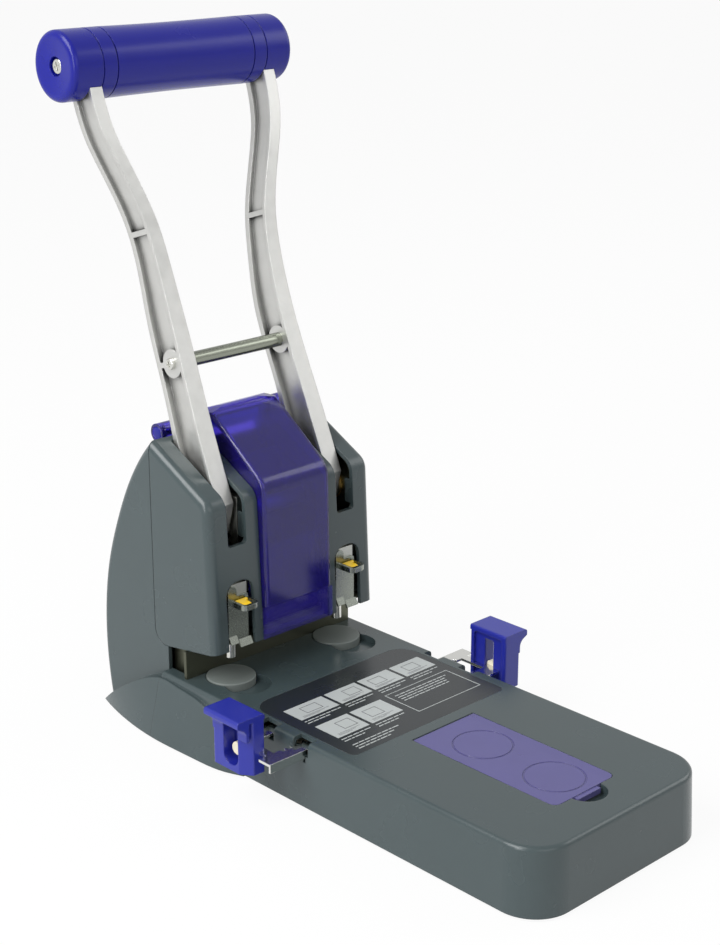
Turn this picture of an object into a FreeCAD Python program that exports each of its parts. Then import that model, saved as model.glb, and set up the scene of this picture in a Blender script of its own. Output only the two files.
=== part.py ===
import FreeCAD, Part
import math
import os

# Two-hole desk punch with a long lever.
# X runs across the machine, Y toward the head, Z up, with Z = 0 on the table.
# Sizes are drawn from the line between the two punch axes, at Y = 0. Each piece is then
# moved along Y, so that the origin lies on the table under the middle of the machine.

V = FreeCAD.Vector

# ---------------------------------------------------------------- driving sizes, millimetres

# Punching
hole_spacing = 80.0
hole_margin = 12.5            # punch axis to the back stop
punch_diameter = 6.0
punch_bore = 4.2
tip_clearance = 0.2           # punch tip above the cutting disc at full stroke
lever_travel = 78.0           # degrees

# Base
base_top = 38.0
rim_height = 1.5              # lower rim of the shells above the table
base_front = -248.0
base_side = 5.5               # base side outside the head's side
base_draft = 1.3
base_corner = 22.0
base_edge = 2.5
shell_wall = 2.5
seam_y = 30.5                 # base shell meets rear shell

# Wings beside the head, sideways from the base
wing_flare = 10.0
wing_step = 1.0
wing_front = -60.0
wing_tip_y = 87.4
wing_tip_step = -1.1
wing_crest = 35.3

# Head
head_side = 19.7              # punch axis to the head's side
head_front_low = -10.9
head_front_high = -6.9
head_bottom = 58.7
head_shoulder = 144.0         # where the front face meets the slope
slope_angle = 27.5
shoulder_radius = 10.0
head_edge = 5.0
head_foot_radius = 9.0
head_foot_drop = 8.5          # head's lower edge falls by this toward the seam
seam_groove = 0.45
head_seam = 42.0              # front cover meets rear shell
slot_width = 13.0             # arm slot
slot_rim = 1.5                # wall round the arm slot, inside the head
sill_height = 117.5
sill_rear = -5.0
cheek_rear = -0.8             # rear edge of the slot's two side walls
station_width = 19.2
station_top = 97.5
station_arch = 8.0

# Back of the head: (y, z) points that its curve passes, from the seam down
back_edge = 4.0
rear_curve = [(62.5, 143.0), (75.8, 115.9), (85.4, 89.0), (91.0, 55.0), (87.5, rim_height)]

# Centre cover
cover_side_gap = 15.5         # cover side to the punch axis
cover_step = 2.6              # cover face ahead of the head
cover_gap = 0.3
cover_wall = 2.0
cover_split = 78.0
cover_edge = 2.5
cover_crown = 183.0
cover_arch_radius = 115.0
cover_bulge = 1.25            # slope above the middle between brow and crown
cover_hinge_y = 52.0
cover_hinge_drop = 14.0       # hinge axis below the crown
cover_lug_radius = 5.3
cover_lug_length = 12.0
hinge_pin_radius = 2.0
hinge_eye_radius = 4.0
hinge_eye_width = 5.4
hinge_side_gap = 0.4          # eye to the lug beside it
pin_recess = 4.5              # pin end inside the lug's outer end
ear_half_depth = 3.0

# Lever
pivot_y = 15.0
pivot_z = 126.0
shaft_radius = 5.0
handle_y = 90.4
handle_z = 366.6
handle_radius = 18.8
handle_half_length = 75.0
cap_length = 28.0
joint_gap = 0.7
cap_groove = 18.9             # groove from the cap's end
arm_inset = 15.4              # arm centre from the handle's end
arm_eye_radius = 10.5
arm_root_width = 10.8
arm_web = 3.0
arm_front_flange = 2.4
arm_rear_flange = 3.4
arm_rib = 0.634               # share of the way from pivot to handle axis
arm_rib_thickness = 3.0
brace_distance = 88.0         # cross rod from the pivot, along the lever
brace_forward = 1.6
brace_radius = 4.0
brace_bore = 2.1
arm_top_radius = 13.5
brace_boss_radius = 8.0
tie_rod_radius = 4.0

# Stations of the cast arm: share of the way from pivot to handle axis, distance of the
# front and rear faces from the line between them, share of the sideways sweep, width.
arm_stations = [
    (0.03, 17.1, 10.5, 0.00, arm_root_width),
    (0.22, 12.6, 10.2, -0.03, 10.5),
    (0.35, 10.0, 12.2, -0.09, 10.0),
    (0.43, 8.9, 13.3, -0.10, 9.5),
    (0.54, 8.4, 11.2, -0.06, 8.6),
    (0.65, 9.5, 8.8, 0.10, 7.9),
    (0.73, 10.9, 7.2, 0.41, 7.5),
    (0.79, 11.7, 6.4, 0.69, 7.4),
    (0.84, 11.8, 6.0, 0.89, 7.5),
    (0.90, 11.7, 6.0, 1.00, 7.6),
    (0.96, 11.7, 6.0, 1.00, 7.6),
]

# Rack drive of the punches
drive_teeth = 12
drive_module = 4.0 / 3.0
drive_width = 5.4
rack_offset = 12.2            # punch axis to the rack's inner side
ram_bottom = 88.0
ram_height = 17.0
ram_half_width = 11.0
rod_offset = 14.0             # guide rod behind the punch axis
rod_radius = 4.0
running_fit = 0.05
spring_wire = 1.2
spring_play = 0.6             # gap between the coil and its guide rod
spring_turns = 6

# Steel frame
frame_inset = 7.7             # frame's inner side from the head's side
frame_thickness = 3.0
chassis_top = 31.0
guide_plate_bottom = 60.0
guide_plate_thickness = 4.0
bottom_thickness = 1.5
bottom_rear = 80.0
chassis_plate = 3.0
chassis_flange = 2.0
chassis_front = -17.0
chassis_rear = 75.0
frame_front = -3.0
frame_foot_rear = 72.0        # rear edge of the side frame at the chassis
frame_heel = (68.0, 95.0)
frame_crest = (20.0, 24.0)    # behind the punch axis, above the lever shaft
frame_shoulder = 12.0         # above the lever shaft
frame_rear = 46.0
stop_overhang = 1.8           # back stop beyond the head's side
stop_thickness = 2.0

# Chip box, between the frames
chip_half_width = 22.0
chip_front = -4.0
chip_rear = 29.7
chip_top = 110.0
chip_wall = 1.5
inlet_rear = 5.0              # rear edge of the inlets beside the rams

# Cutting discs
disc_radius = 13.85
disc_play = 0.35              # disc to the rim of its seat
seat_wall = 2.0
disc_thickness = 5.3
disc_proud = 0.8
finger_radius = 13.0
finger_offset = 14.5
finger_depth = 3.5

# Paper guides
guide_centre = -72.3
guide_module = 1.3
guide_teeth = 14
slide_thickness = 1.5
slide_gap = 0.4
slide_top = 34.0
slide_lip = 5.0
slide_cross_inset = 13.5      # inner edge of the slide's cross bar from the block's outer side
prong_width = 9.3
guide_reach = 27.3            # outer side of the block from the base side
guide_block_depth = 12.4
guide_block_length = 27.2
guide_block_offset = 10.8     # block centre from the guide centre line
guide_block_bottom = 22.0
guide_block_top = 55.0
guide_lip = 5.8
guide_stile = 8.6
guide_slot = 11.5
guide_stud_radius = 3.6

# Spare disc box
lid_half_width = 22.8
lid_rear = -125.0
lid_front = -221.5
lid_corner = 4.0
lid_thickness = 2.0
lid_tab_half_width = 8.5
lid_tab = 2.6
lid_pin_radius = 0.75
lid_pin_length = 1.4
lid_ring_radius = 16.0
lid_ring_width = 0.9
lid_ring_depth = 0.4
notch_radius = 11.0
notch_depth = 5.0
box_depth = 12.0

# Label panel
label_margin = 8.0            # label side from the base side
label_rear = -37.0
label_front = -117.0
label_rear_corner = 12.0
label_front_corner = 4.0
label_depth = 0.5

# Feet
foot_radius = 9.0
foot_inset = 15.2
foot_front = -225.0
foot_rear = 60.0

# ---------------------------------------------------------------- worked out sizes

punch_x = hole_spacing / 2
head_half_width = punch_x + head_side
base_half_width = head_half_width + base_side
wing_reach = base_half_width + wing_flare
wing_waist = base_half_width + wing_step
wing_tip_x = base_half_width + wing_tip_step
cover_half_width = punch_x - cover_side_gap
frame_inner_x = head_half_width - frame_inset
stop_half_width = head_half_width + stop_overhang
rack_inner_x = punch_x - rack_offset
cap_joint = handle_half_length - cap_length
handle_arm_x = handle_half_length - arm_inset
guide_outer_x = base_half_width + guide_reach
guide_inner_x = guide_outer_x - guide_block_depth
label_half_width = base_half_width - label_margin
foot_x = base_half_width - foot_inset
slope_end = head_shoulder + math.tan(math.radians(slope_angle)) * (head_seam - head_front_high)
cover_front = head_front_low - cover_step
machine_rear = handle_y + handle_radius
machine_front = base_front - base_draft
machine_middle = (machine_rear + machine_front) / 2
stop_y = hole_margin
drive_radius = drive_teeth * drive_module / 2
stroke = drive_radius * math.radians(lever_travel)
disc_top = base_top + disc_proud
disc_seat = disc_top - disc_thickness
punch_tip = disc_top + tip_clearance + stroke
rack_line = pivot_y - drive_radius
guide_radius = guide_teeth * guide_module / 2
lever_length = math.hypot(handle_y - pivot_y, handle_z - pivot_z)
lever_lean = math.degrees(math.atan2(handle_y - pivot_y, handle_z - pivot_z))
cover_hinge_z = cover_crown - cover_hinge_drop
slope_rise = math.tan(math.radians(slope_angle))
lug_inner_x = punch_x - cover_lug_length / 2
lug_outer_x = punch_x + cover_lug_length / 2


# ---------------------------------------------------------------- helpers

def box(x0, x1, y0, y1, z0, z1):
    return Part.makeBox(x1 - x0, y1 - y0, z1 - z0, V(x0, y0, z0))


def rod_x(radius, x0, x1, y, z):
    return Part.makeCylinder(radius, x1 - x0, V(x0, y, z), V(1, 0, 0))


def rod_z(radius, z0, z1, x, y):
    return Part.makeCylinder(radius, z1 - z0, V(x, y, z0), V(0, 0, 1))


def on_plane(normal, level):
    """Map (u, v) to space: X planes use (y, z), Y planes (x, z), Z planes (x, y)."""
    if normal == "X":
        return lambda u, v: V(level, u, v)
    if normal == "Y":
        return lambda u, v: V(u, level, v)
    return lambda u, v: V(u, v, level)


def corner_points(before, corner, after):
    """Ends and middle of the arc that rounds a corner given as (u, v, radius)."""
    u, v, radius = corner
    back = V(before[0] - u, before[1] - v, 0).normalize()
    ahead = V(after[0] - u, after[1] - v, 0).normalize()
    half = back.getAngle(ahead) / 2
    reach = radius / math.tan(half)
    inward = (back + ahead).normalize()
    middle = inward * (radius / math.sin(half) - radius)
    here = V(u, v, 0)
    return here + back * reach, here + middle, here + ahead * reach


def outline(points, normal, level):
    """Closed wire through (u, v) corners; a third number rounds that corner."""
    place = on_plane(normal, level)
    pieces = []
    for i, point in enumerate(points):
        if len(point) == 3:
            following = points[(i + 1) % len(points)]
            pieces.append(corner_points(points[i - 1], point, following))
        else:
            here = V(point[0], point[1], 0)
            pieces.append((here, None, here))
    edges = []
    for i, (start, middle, end) in enumerate(pieces):
        if middle is not None:
            arc = [place(p.x, p.y) for p in (start, middle, end)]
            edges.append(Part.Arc(*arc).toShape())
        following = pieces[(i + 1) % len(pieces)][0]
        if end.distanceToPoint(following) > 1e-6:
            line = Part.makeLine(place(end.x, end.y), place(following.x, following.y))
            edges.append(line)
    return Part.Wire(edges)


def along(normal, length):
    return {"X": V(length, 0, 0), "Y": V(0, length, 0), "Z": V(0, 0, length)}[normal]


def prism(points, normal, start, end):
    return Part.Face(outline(points, normal, start)).extrude(along(normal, end - start))


def spline(points, normal, level):
    place = on_plane(normal, level)
    curve = Part.BSplineCurve()
    curve.interpolate([place(u, v) for u, v in points])
    return curve.toShape()


def segment(a, b, normal, level):
    place = on_plane(normal, level)
    return Part.makeLine(place(*a), place(*b))


def mirrored(shape):
    return shape.mirror(V(0, 0, 0), V(1, 0, 0))


def both_sides(shape):
    return [shape, mirrored(shape)]


def fused(shapes):
    return shapes[0].multiFuse(shapes[1:]).removeSplitter()


def rounded(shape, radius, wanted):
    edges = [edge for edge in shape.Edges if wanted(edge)]
    return shape.makeFillet(radius, edges)


def save(name, solids):
    """One STEP file per piece; a list keeps identical pieces as separate solids."""
    if not isinstance(solids, list):
        solids = [solids]
    found = [solid for shape in solids for solid in shape.Solids]
    whole = found[0] if len(found) == 1 else Part.makeCompound(found)
    whole = whole.translated(V(0, -machine_middle, 0))
    whole.exportStep(os.path.join("parts", name + ".step"))


# ---------------------------------------------------------------- gears and racks

pressure_angle = math.radians(25.0)
addendum_share = 0.8
dedendum_share = 1.0
tooth_play = 0.12


def involute(angle):
    return math.tan(angle) - angle


def gear_half_angle(teeth, module, radius):
    """Half the angle of a tooth at the given radius."""
    pitch_radius = teeth * module / 2
    base_radius = pitch_radius * math.cos(pressure_angle)
    here = math.acos(min(1.0, base_radius / radius))
    at_pitch = (math.pi * module / 2 - tooth_play) / (2 * pitch_radius)
    return at_pitch + involute(pressure_angle) - involute(here)


def gear(teeth, module, thickness):
    """Involute gear about Z, a tooth on the +X axis, from Z = 0 up."""
    pitch_radius = teeth * module / 2
    base_radius = pitch_radius * math.cos(pressure_angle)
    root = pitch_radius - dedendum_share * module
    tip = pitch_radius + addendum_share * module
    flank_start = max(root, base_radius)
    steps = 3
    radii = [flank_start + (tip - flank_start) * i / steps for i in range(steps + 1)]
    flat = on_plane("Z", 0)

    def polar(radius, angle):
        return flat(radius * math.cos(angle), radius * math.sin(angle))

    edges = []
    for tooth in range(teeth):
        middle = 2 * math.pi * tooth / teeth
        rising = [polar(r, middle - gear_half_angle(teeth, module, r)) for r in radii]
        falling = [polar(r, middle + gear_half_angle(teeth, module, r)) for r in reversed(radii)]
        foot = gear_half_angle(teeth, module, flank_start)
        gap_end = middle + 2 * math.pi / teeth - foot
        up = Part.BSplineCurve()
        up.interpolate(rising)
        down = Part.BSplineCurve()
        down.interpolate(falling)
        edges.append(up.toShape())
        edges.append(Part.Arc(rising[-1], polar(tip, middle), falling[0]).toShape())
        edges.append(down.toShape())
        if root < base_radius:
            edges.append(Part.makeLine(falling[-1], polar(root, middle + foot)))
        gap_middle = middle + math.pi / teeth
        low = Part.Arc(polar(root, middle + foot), polar(root, gap_middle), polar(root, gap_end))
        edges.append(low.toShape())
        if root < base_radius:
            edges.append(Part.makeLine(polar(root, gap_end), polar(flank_start, gap_end)))
    return Part.Face(Part.Wire(edges)).extrude(V(0, 0, thickness))


def rack_points(module, start, end, gap_at, back):
    """Rack outline (u along, v across); the pitch line is v = 0, teeth point to +v.
    One gap between teeth is centred at gap_at."""
    pitch = math.pi * module
    tip = addendum_share * module
    root = -dedendum_share * module
    lean = math.tan(pressure_angle)
    half_gap = pitch / 4 + tooth_play / 2
    first = math.ceil((start + pitch / 2 - gap_at) / pitch)
    last = math.floor((end - pitch / 2 - gap_at) / pitch)
    points = [(start, back), (start, tip)]
    for i in range(first, last + 1):
        middle = gap_at + i * pitch
        wide = half_gap + tip * lean
        narrow = half_gap + root * lean
        points += [(middle - wide, tip), (middle - narrow, root)]
        points += [(middle + narrow, root), (middle + wide, tip)]
    points += [(end, tip), (end, back)]
    return points


# ---------------------------------------------------------------- base

def base_outline(inset, level):
    """Plan of the base at a height, with the draft of its sides."""
    drop = (base_top - level) / (base_top - rim_height)
    half = base_half_width + base_draft * drop - inset
    front = base_front - base_draft * drop + inset
    corner = base_corner - inset
    points = [(-half, seam_y), (half, seam_y), (half, front, corner), (-half, front, corner)]
    return outline(points, "Z", level)


def base_block(inset, low, high):
    return Part.makeLoft([base_outline(inset, low), base_outline(inset, high)], True, True)


def wing_block(inset):
    """Flared side wing; the inset gives the hollow under it."""
    low = rim_height - inset
    crest = wing_crest - inset
    ground = [(wing_waist - inset, wing_front), (wing_waist - inset, -46.0),
              (wing_reach - 4.0 - inset, -33.0), (wing_reach - 0.8 - inset, -7.0),
              (wing_reach - inset, 25.0), (wing_reach - 3.6 - inset, 58.0),
              (wing_tip_x - inset, wing_tip_y)]
    upper = [(wing_waist - inset, y) for x, y in ground]
    inner_x = head_half_width - 10.0
    sections = []
    for curve, level in ((ground, low), (upper, base_top)):
        first, last = curve[0], curve[-1]
        edges = [spline(curve, "Z", level)]
        edges.append(segment(last, (inner_x, last[1]), "Z", level))
        edges.append(segment((inner_x, last[1]), (inner_x, first[1]), "Z", level))
        edges.append(segment((inner_x, first[1]), first, "Z", level))
        sections.append(Part.Wire(edges))
    flare = Part.makeLoft(sections, True, True)
    profile = [(-42.0 + inset, low), (-34.0 + inset, 13.0), (-21.0, 25.0 - inset), (-6.0, crest - 3.0),
               (14.0, crest - 0.8), (28.0, crest), (41.0, crest - 3.6), (55.0, crest - 10.8),
               (70.0, crest - 20.5), (wing_tip_y - inset, low)]
    curve = spline(profile, "X", inner_x)
    bottom = segment(profile[-1], profile[0], "X", inner_x)
    hump = Part.Face(Part.Wire([curve, bottom])).extrude(V(wing_reach, 0, 0))
    return flare.common(hump)


def wings():
    outer = wing_block(0)
    inner = wing_block(shell_wall)
    return outer.cut(inner).cut(box(0, 100, -100, 200, -20, rim_height))


def top_rim(edge):
    box_ = edge.BoundBox
    return box_.ZMin > base_top - 0.01 and box_.YMin < seam_y - 0.01


def lid_pocket(clearance, low, high):
    half = lid_half_width + clearance
    front = lid_front - clearance
    corner = lid_corner + clearance
    points = [(-half, lid_rear + clearance), (half, lid_rear + clearance),
              (half, front, corner), (-half, front, corner)]
    return prism(points, "Z", low, high)


def base_shell():
    skin = base_top - shell_wall
    outer = rounded(base_block(0, rim_height, base_top), base_edge, top_rim)
    inner = base_block(shell_wall, rim_height - 1, skin)
    shell = outer.cut(inner)

    side_wing = wings()
    in_wall = base_half_width - shell_wall / 2
    wing = side_wing.common(box(in_wall, 100, -100, seam_y, 0, base_top))
    shell = fused([shell, wing, mirrored(wing)])

    # Seats for the cutting discs, with finger recesses in front of them.
    seats = []
    hollows = []
    finger_floor = base_top - finger_depth - shell_wall
    seat_radius = disc_radius + disc_play
    for x in (-punch_x, punch_x):
        seats.append(rod_z(seat_radius + seat_wall, chassis_top, skin + 1, x, 0))
        seats.append(rod_z(finger_radius + seat_wall, finger_floor, skin + 1, x, -finger_offset))
        hollows.append(rod_z(seat_radius, disc_seat, base_top + 1, x, 0))
        hollows.append(rod_z(finger_radius, base_top - finger_depth, base_top + 1, x, -finger_offset))

    # Box for the spare discs, under the lid.
    box_floor = base_top - box_depth
    seats.append(lid_pocket(2.3, box_floor - 2, skin + 1))
    hollows.append(lid_pocket(0.3, box_floor, base_top + 1))
    notch_floor = base_top - notch_depth
    hollows.append(rod_z(notch_radius, notch_floor, base_top + 1, 0, lid_front))
    seats.append(rod_z(notch_radius + 2, notch_floor - 2, skin + 1, 0, lid_front))

    # Post and shoulder for the guide pinion.
    pinion_low = slide_top - 2 * slide_thickness - slide_gap - 0.2
    seats.append(rod_z(3, pinion_low - 0.1, skin + 1, 0, guide_centre))
    seats.append(rod_z(5, slide_top + 0.3, skin + 1, 0, guide_centre))

    shell = fused([shell] + seats)
    shell = shell.cut(hollows[0].multiFuse(hollows[1:]))

    # Openings for the frame, the guide slides and their bent lips.
    frame_half = frame_inner_x + 5
    cuts = [box(-frame_half, frame_half, stop_y + stop_thickness - 0.3, seam_y + 1, 3, base_top + 1)]
    notch_low = slide_top - 2 * slide_thickness - slide_gap - 0.4
    lip_low = slide_top - slide_lip - slide_thickness - slide_gap
    near = guide_radius - addendum_share * guide_module - 0.5
    far = near + 11.5
    for side in (-1, 1):
        x0, x1 = sorted((side * (base_half_width - 6.2), side * (wing_reach + 5)))
        cuts.append(box(x0, x1, guide_centre + near, guide_centre + far, notch_low, base_top + 1))
        cuts.append(box(x0, x1, guide_centre - far, guide_centre - near, notch_low, base_top + 1))
        lip_y = guide_centre + side * (guide_radius - addendum_share * guide_module + 9.0 - 0.6)
        cuts.append(box(x0, x1, lip_y - 0.9, lip_y + 0.9, lip_low - 0.3, notch_low + 1))
    shell = shell.cut(cuts[0].multiFuse(cuts[1:]))

    # Shallow bed for the label panel.
    shell = shell.cut(label_plate(0.1, base_top - label_depth, base_top + 1))
    # Hinge sockets of the lid.
    axis_z = base_top - lid_thickness / 2
    socket_x = lid_half_width + lid_pin_length + 0.1
    socket_y = lid_rear - lid_thickness / 2
    return shell.cut(rod_x(lid_pin_radius + running_fit, -socket_x, socket_x, socket_y, axis_z))


def label_plate(clearance, low, high):
    half = label_half_width + clearance
    rear = label_rear + clearance
    front = label_front - clearance
    rear_corner = label_rear_corner + clearance
    front_corner = label_front_corner + clearance
    points = [(-half, rear, rear_corner), (half, rear, rear_corner),
              (half, front, front_corner), (-half, front, front_corner)]
    return prism(points, "Z", low, high)


def bottom_plate():
    front = base_outline(shell_wall + 0.3, rim_height)
    plate = Part.Face(front).extrude(V(0, 0, bottom_thickness))
    rear_half = head_half_width - shell_wall - 0.3
    rear = box(-rear_half, rear_half, seam_y - 1, bottom_rear, rim_height, rim_height + bottom_thickness)
    return fused([plate, rear])


def feet():
    places = [(x, y) for x in (-foot_x, foot_x) for y in (foot_front, foot_rear)]
    return [rod_z(foot_radius, 0, rim_height, x, y) for x, y in places]


def spare_lid():
    """Flush lid with a hinge barrel, a turned-down tab and two shallow rings."""
    low = base_top - lid_thickness
    hinge_y = lid_rear - lid_thickness / 2
    axis_z = base_top - lid_thickness / 2
    sheet = [(-lid_half_width, hinge_y), (lid_half_width, hinge_y),
             (lid_half_width, lid_front, lid_corner), (-lid_half_width, lid_front, lid_corner)]
    plate = prism(sheet, "Z", low, base_top)
    tab_x = lid_tab_half_width
    tab = box(-tab_x, tab_x, lid_front - lid_tab, lid_front + 1, low, base_top - 0.6)
    lip = box(-tab_x, tab_x, lid_front - lid_tab, lid_front - lid_tab + 1.4, low - 1.6, low)
    barrel = rod_x(lid_thickness / 2, -lid_half_width, lid_half_width, hinge_y, axis_z)
    pin_x = lid_half_width + lid_pin_length
    pins = rod_x(lid_pin_radius, -pin_x, pin_x, hinge_y, axis_z)
    lid = fused([plate, tab, lip, barrel, pins])
    for y in spare_places():
        groove = rod_z(lid_ring_radius, base_top - lid_ring_depth, base_top + 1, 0, y)
        island = rod_z(lid_ring_radius - lid_ring_width, base_top - 1, base_top + 1, 0, y)
        lid = lid.cut(groove.cut(island))
    return lid


def spare_places():
    """Middles of the two spare discs along the box."""
    quarter = (lid_rear - lid_front) / 4
    return [lid_rear - quarter - 4.4, lid_front + quarter - 4.3]


def cutting_disc(x, y, seat):
    disc = rod_z(disc_radius, seat, seat + disc_thickness, x, y)
    return rounded(disc, 0.6, lambda edge: edge.BoundBox.ZMin > seat + disc_thickness - 0.01)


# ---------------------------------------------------------------- head shells

def front_points():
    """Side outline of the head's front cover."""
    return [(head_front_low, head_bottom), (head_front_high, head_shoulder, shoulder_radius),
            (head_seam, slope_end), (head_seam, head_bottom - head_foot_drop, head_foot_radius)]


def front_profile(level):
    return Part.Face(outline(front_points(), "X", level))


def front_side_edge(edge):
    box_ = edge.BoundBox
    on_side = box_.XMin > head_half_width - 0.01 or box_.XMax < -head_half_width + 0.01
    return on_side and box_.ZMin > head_bottom - 0.01 and box_.YMin < head_seam - 0.5


def seam_rabbet():
    """Shallow step round the rear edge of the front cover, on the right side."""
    level = head_half_width - seam_groove
    skin = front_profile(level).extrude(V(2 * seam_groove, 0, 0))
    keep = front_profile(level - 1).extrude(V(2 * seam_groove + 2, 0, 0))
    keep.translate(V(0, -seam_groove, seam_groove / 2))
    rear = box(level - 1, level + 2, head_seam - head_foot_radius - 2, head_seam + 1, 0, slope_end + 1)
    return skin.cut(keep).common(rear)


def arm_slot(side, reach):
    """Opening that an arm swings through, wider all round by the reach."""
    x = side * punch_x
    half = slot_width / 2 + reach
    low = sill_height - reach
    opening = [(x - half, low, 2.0), (x - half, slope_end * 2),
               (x + half, slope_end * 2), (x + half, low, 2.0)]
    return prism(opening, "Y", head_front_low - 20, head_seam - 3.0)


def slot_walls(side):
    """Rim inside the head's front wall: a sill and two cheeks round the arm slot."""
    rim_top = head_shoulder - shoulder_radius
    walls = arm_slot(side, slot_rim).common(box(-100, 100, head_front_low, cheek_rear, 0, rim_top))
    swing = box(-100, 100, sill_rear, 0, 0, sill_height + 2.5)
    return walls.common(front_profile(-100).extrude(V(200, 0, 0))).cut(swing)


def front_cover():
    outer = front_profile(-head_half_width).extrude(V(2 * head_half_width, 0, 0))
    outer = rounded(outer, head_edge, front_side_edge)
    inner_half = head_half_width - shell_wall
    low = head_front_low + shell_wall
    high = head_front_high + shell_wall
    drop = shell_wall / math.cos(math.radians(slope_angle))
    roof = head_shoulder - drop
    open_y = head_seam + 1
    inside = [(low, 30.0), (low + 0.02, head_bottom - 1),
              (high, roof + slope_rise * shell_wall, shoulder_radius - shell_wall),
              (open_y, roof + slope_rise * (open_y - head_front_high)), (open_y, 30.0)]
    inner = prism(inside, "X", -inner_half, inner_half)
    cover = outer.cut(inner)

    channel = cover_half_width + cover_gap
    cover = cover.cut(box(-channel, channel, -40, head_seam + 1, 30, 2 * slope_end))
    partition_low = guide_plate_bottom + guide_plate_thickness + 0.3
    partition = front_profile(channel).extrude(V(2.0, 0, 0))
    partition = partition.cut(box(0, 60, head_front_low + 5, head_seam + 1, 30, partition_low))
    partition = partition.cut(rod_x(shaft_radius + 0.6, 0, 60, pivot_y, pivot_z))
    window = box(0, head_half_width, -3, inlet_rear, ram_bottom - stroke + 4, ram_bottom + ram_height)
    partition = partition.cut(window)
    bridge = box(-channel, channel, 30.0, 32.0, partition_low, head_shoulder + 6.0)
    walls = [slot_walls(side) for side in (-1, 1)]
    cover = fused([cover, partition, mirrored(partition), bridge] + walls)

    for side in (-1, 1):
        cover = cover.cut(arm_slot(side, 0))
        x = side * punch_x
        half = station_width / 2
        arch = [(x - half, 20), (x - half, station_top, station_arch),
                (x + half, station_top, station_arch), (x + half, 20)]
        cover = cover.cut(prism(arch, "Y", -30, 0))
    rabbet = seam_rabbet()
    return cover.cut(rabbet).cut(mirrored(rabbet))


def rear_profile(level):
    """Side outline of the rear shell: seam, back curve and lower rim."""
    under = head_bottom - head_foot_drop
    back = [(head_seam, slope_end)] + rear_curve
    corner = corner_points((head_seam, slope_end), (head_seam, under, head_foot_radius),
                           (head_front_low, head_bottom))
    start, middle, end = corner
    place = on_plane("X", level)
    lean = (head_bottom - under) / (head_front_low - head_seam)
    front_top = (seam_y, under + lean * (seam_y - head_seam))
    edges = [spline(back, "X", level)]
    edges.append(segment(back[-1], (seam_y, rim_height), "X", level))
    edges.append(segment((seam_y, rim_height), front_top, "X", level))
    edges.append(segment(front_top, (end.x, end.y), "X", level))
    edges.append(Part.Arc(place(end.x, end.y), place(middle.x, middle.y), place(start.x, start.y)).toShape())
    edges.append(segment((start.x, start.y), back[0], "X", level))
    return Part.Face(Part.Wire(Part.__sortEdges__(edges)))


def rear_shell():
    outer = rear_profile(-head_half_width).extrude(V(2 * head_half_width, 0, 0))
    back_edges = [edge for edge in outer.Edges
                  if abs(abs(edge.BoundBox.Center.x) - head_half_width) < 0.01
                  and edge.BoundBox.YMax > 80 and edge.BoundBox.ZLength > 60]
    outer = outer.makeFillet(back_edge, back_edges)
    inner_half = head_half_width - shell_wall
    core = rear_profile(-inner_half).extrude(V(2 * inner_half, 0, 0))
    core.translate(V(0, -shell_wall, -shell_wall * 0.6))
    reach = box(-inner_half, inner_half, 0, 60, -10, 120)
    shell = outer.cut(core).cut(reach)

    in_wall = head_half_width - shell_wall / 2
    side_wing = wings().common(box(in_wall, 100, seam_y, 200, 0, base_top))
    shell = fused([shell, side_wing, mirrored(side_wing)])

    # Room for the centre cover, and ears that carry its hinge pins.
    channel = cover_half_width + 1.0
    shell = shell.cut(box(-channel, channel, 20, cover_hinge_y - 1, cover_hinge_z - 24, slope_end + 50))
    ear = ear_shape()
    return fused([shell, ear, mirrored(ear)])


def ear_shape():
    """Eye on the rear shell, inside a lug of the centre cover."""
    x1 = lug_inner_x - hinge_side_gap
    x0 = x1 - hinge_eye_width
    root_y0, root_y1 = cover_hinge_y - ear_half_depth, cover_hinge_y + ear_half_depth
    skin = rear_profile(x0).extrude(V(x1 - x0, 0, 0))
    root = skin.common(box(x0, x1, root_y0, root_y1, cover_hinge_z - 24, cover_hinge_z - 8))
    post = box(x0, x1, root_y0, root_y1, cover_hinge_z - 14, cover_hinge_z)
    eye = rod_x(hinge_eye_radius, x0, x1, cover_hinge_y, cover_hinge_z)
    bore = rod_x(hinge_pin_radius, x0 - 1, x1 + 1, cover_hinge_y, cover_hinge_z)
    return fused([post, eye, root]).cut(bore)


def hinge_pins():
    x0 = lug_inner_x - hinge_side_gap - hinge_eye_width
    x1 = lug_outer_x - pin_recess
    return both_sides(rod_x(hinge_pin_radius, x0, x1, cover_hinge_y, cover_hinge_z))


def cover_side_edge(edge):
    """Long edges down both sides of the centre cover's front and slope."""
    span = edge.BoundBox
    on_side = abs(abs(span.Center.x) - cover_half_width) < 0.01 and span.XLength < 0.01
    front_face = span.YMax < head_front_low and span.ZMax < head_shoulder + 5
    dividing = head_shoulder + 4 + (cover_hinge_z - head_shoulder - 4) * span.Center.y / (head_seam - 8)
    slope = span.ZMin > head_shoulder - 8 and span.Center.z > dividing
    return on_side and (front_face or slope)


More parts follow.
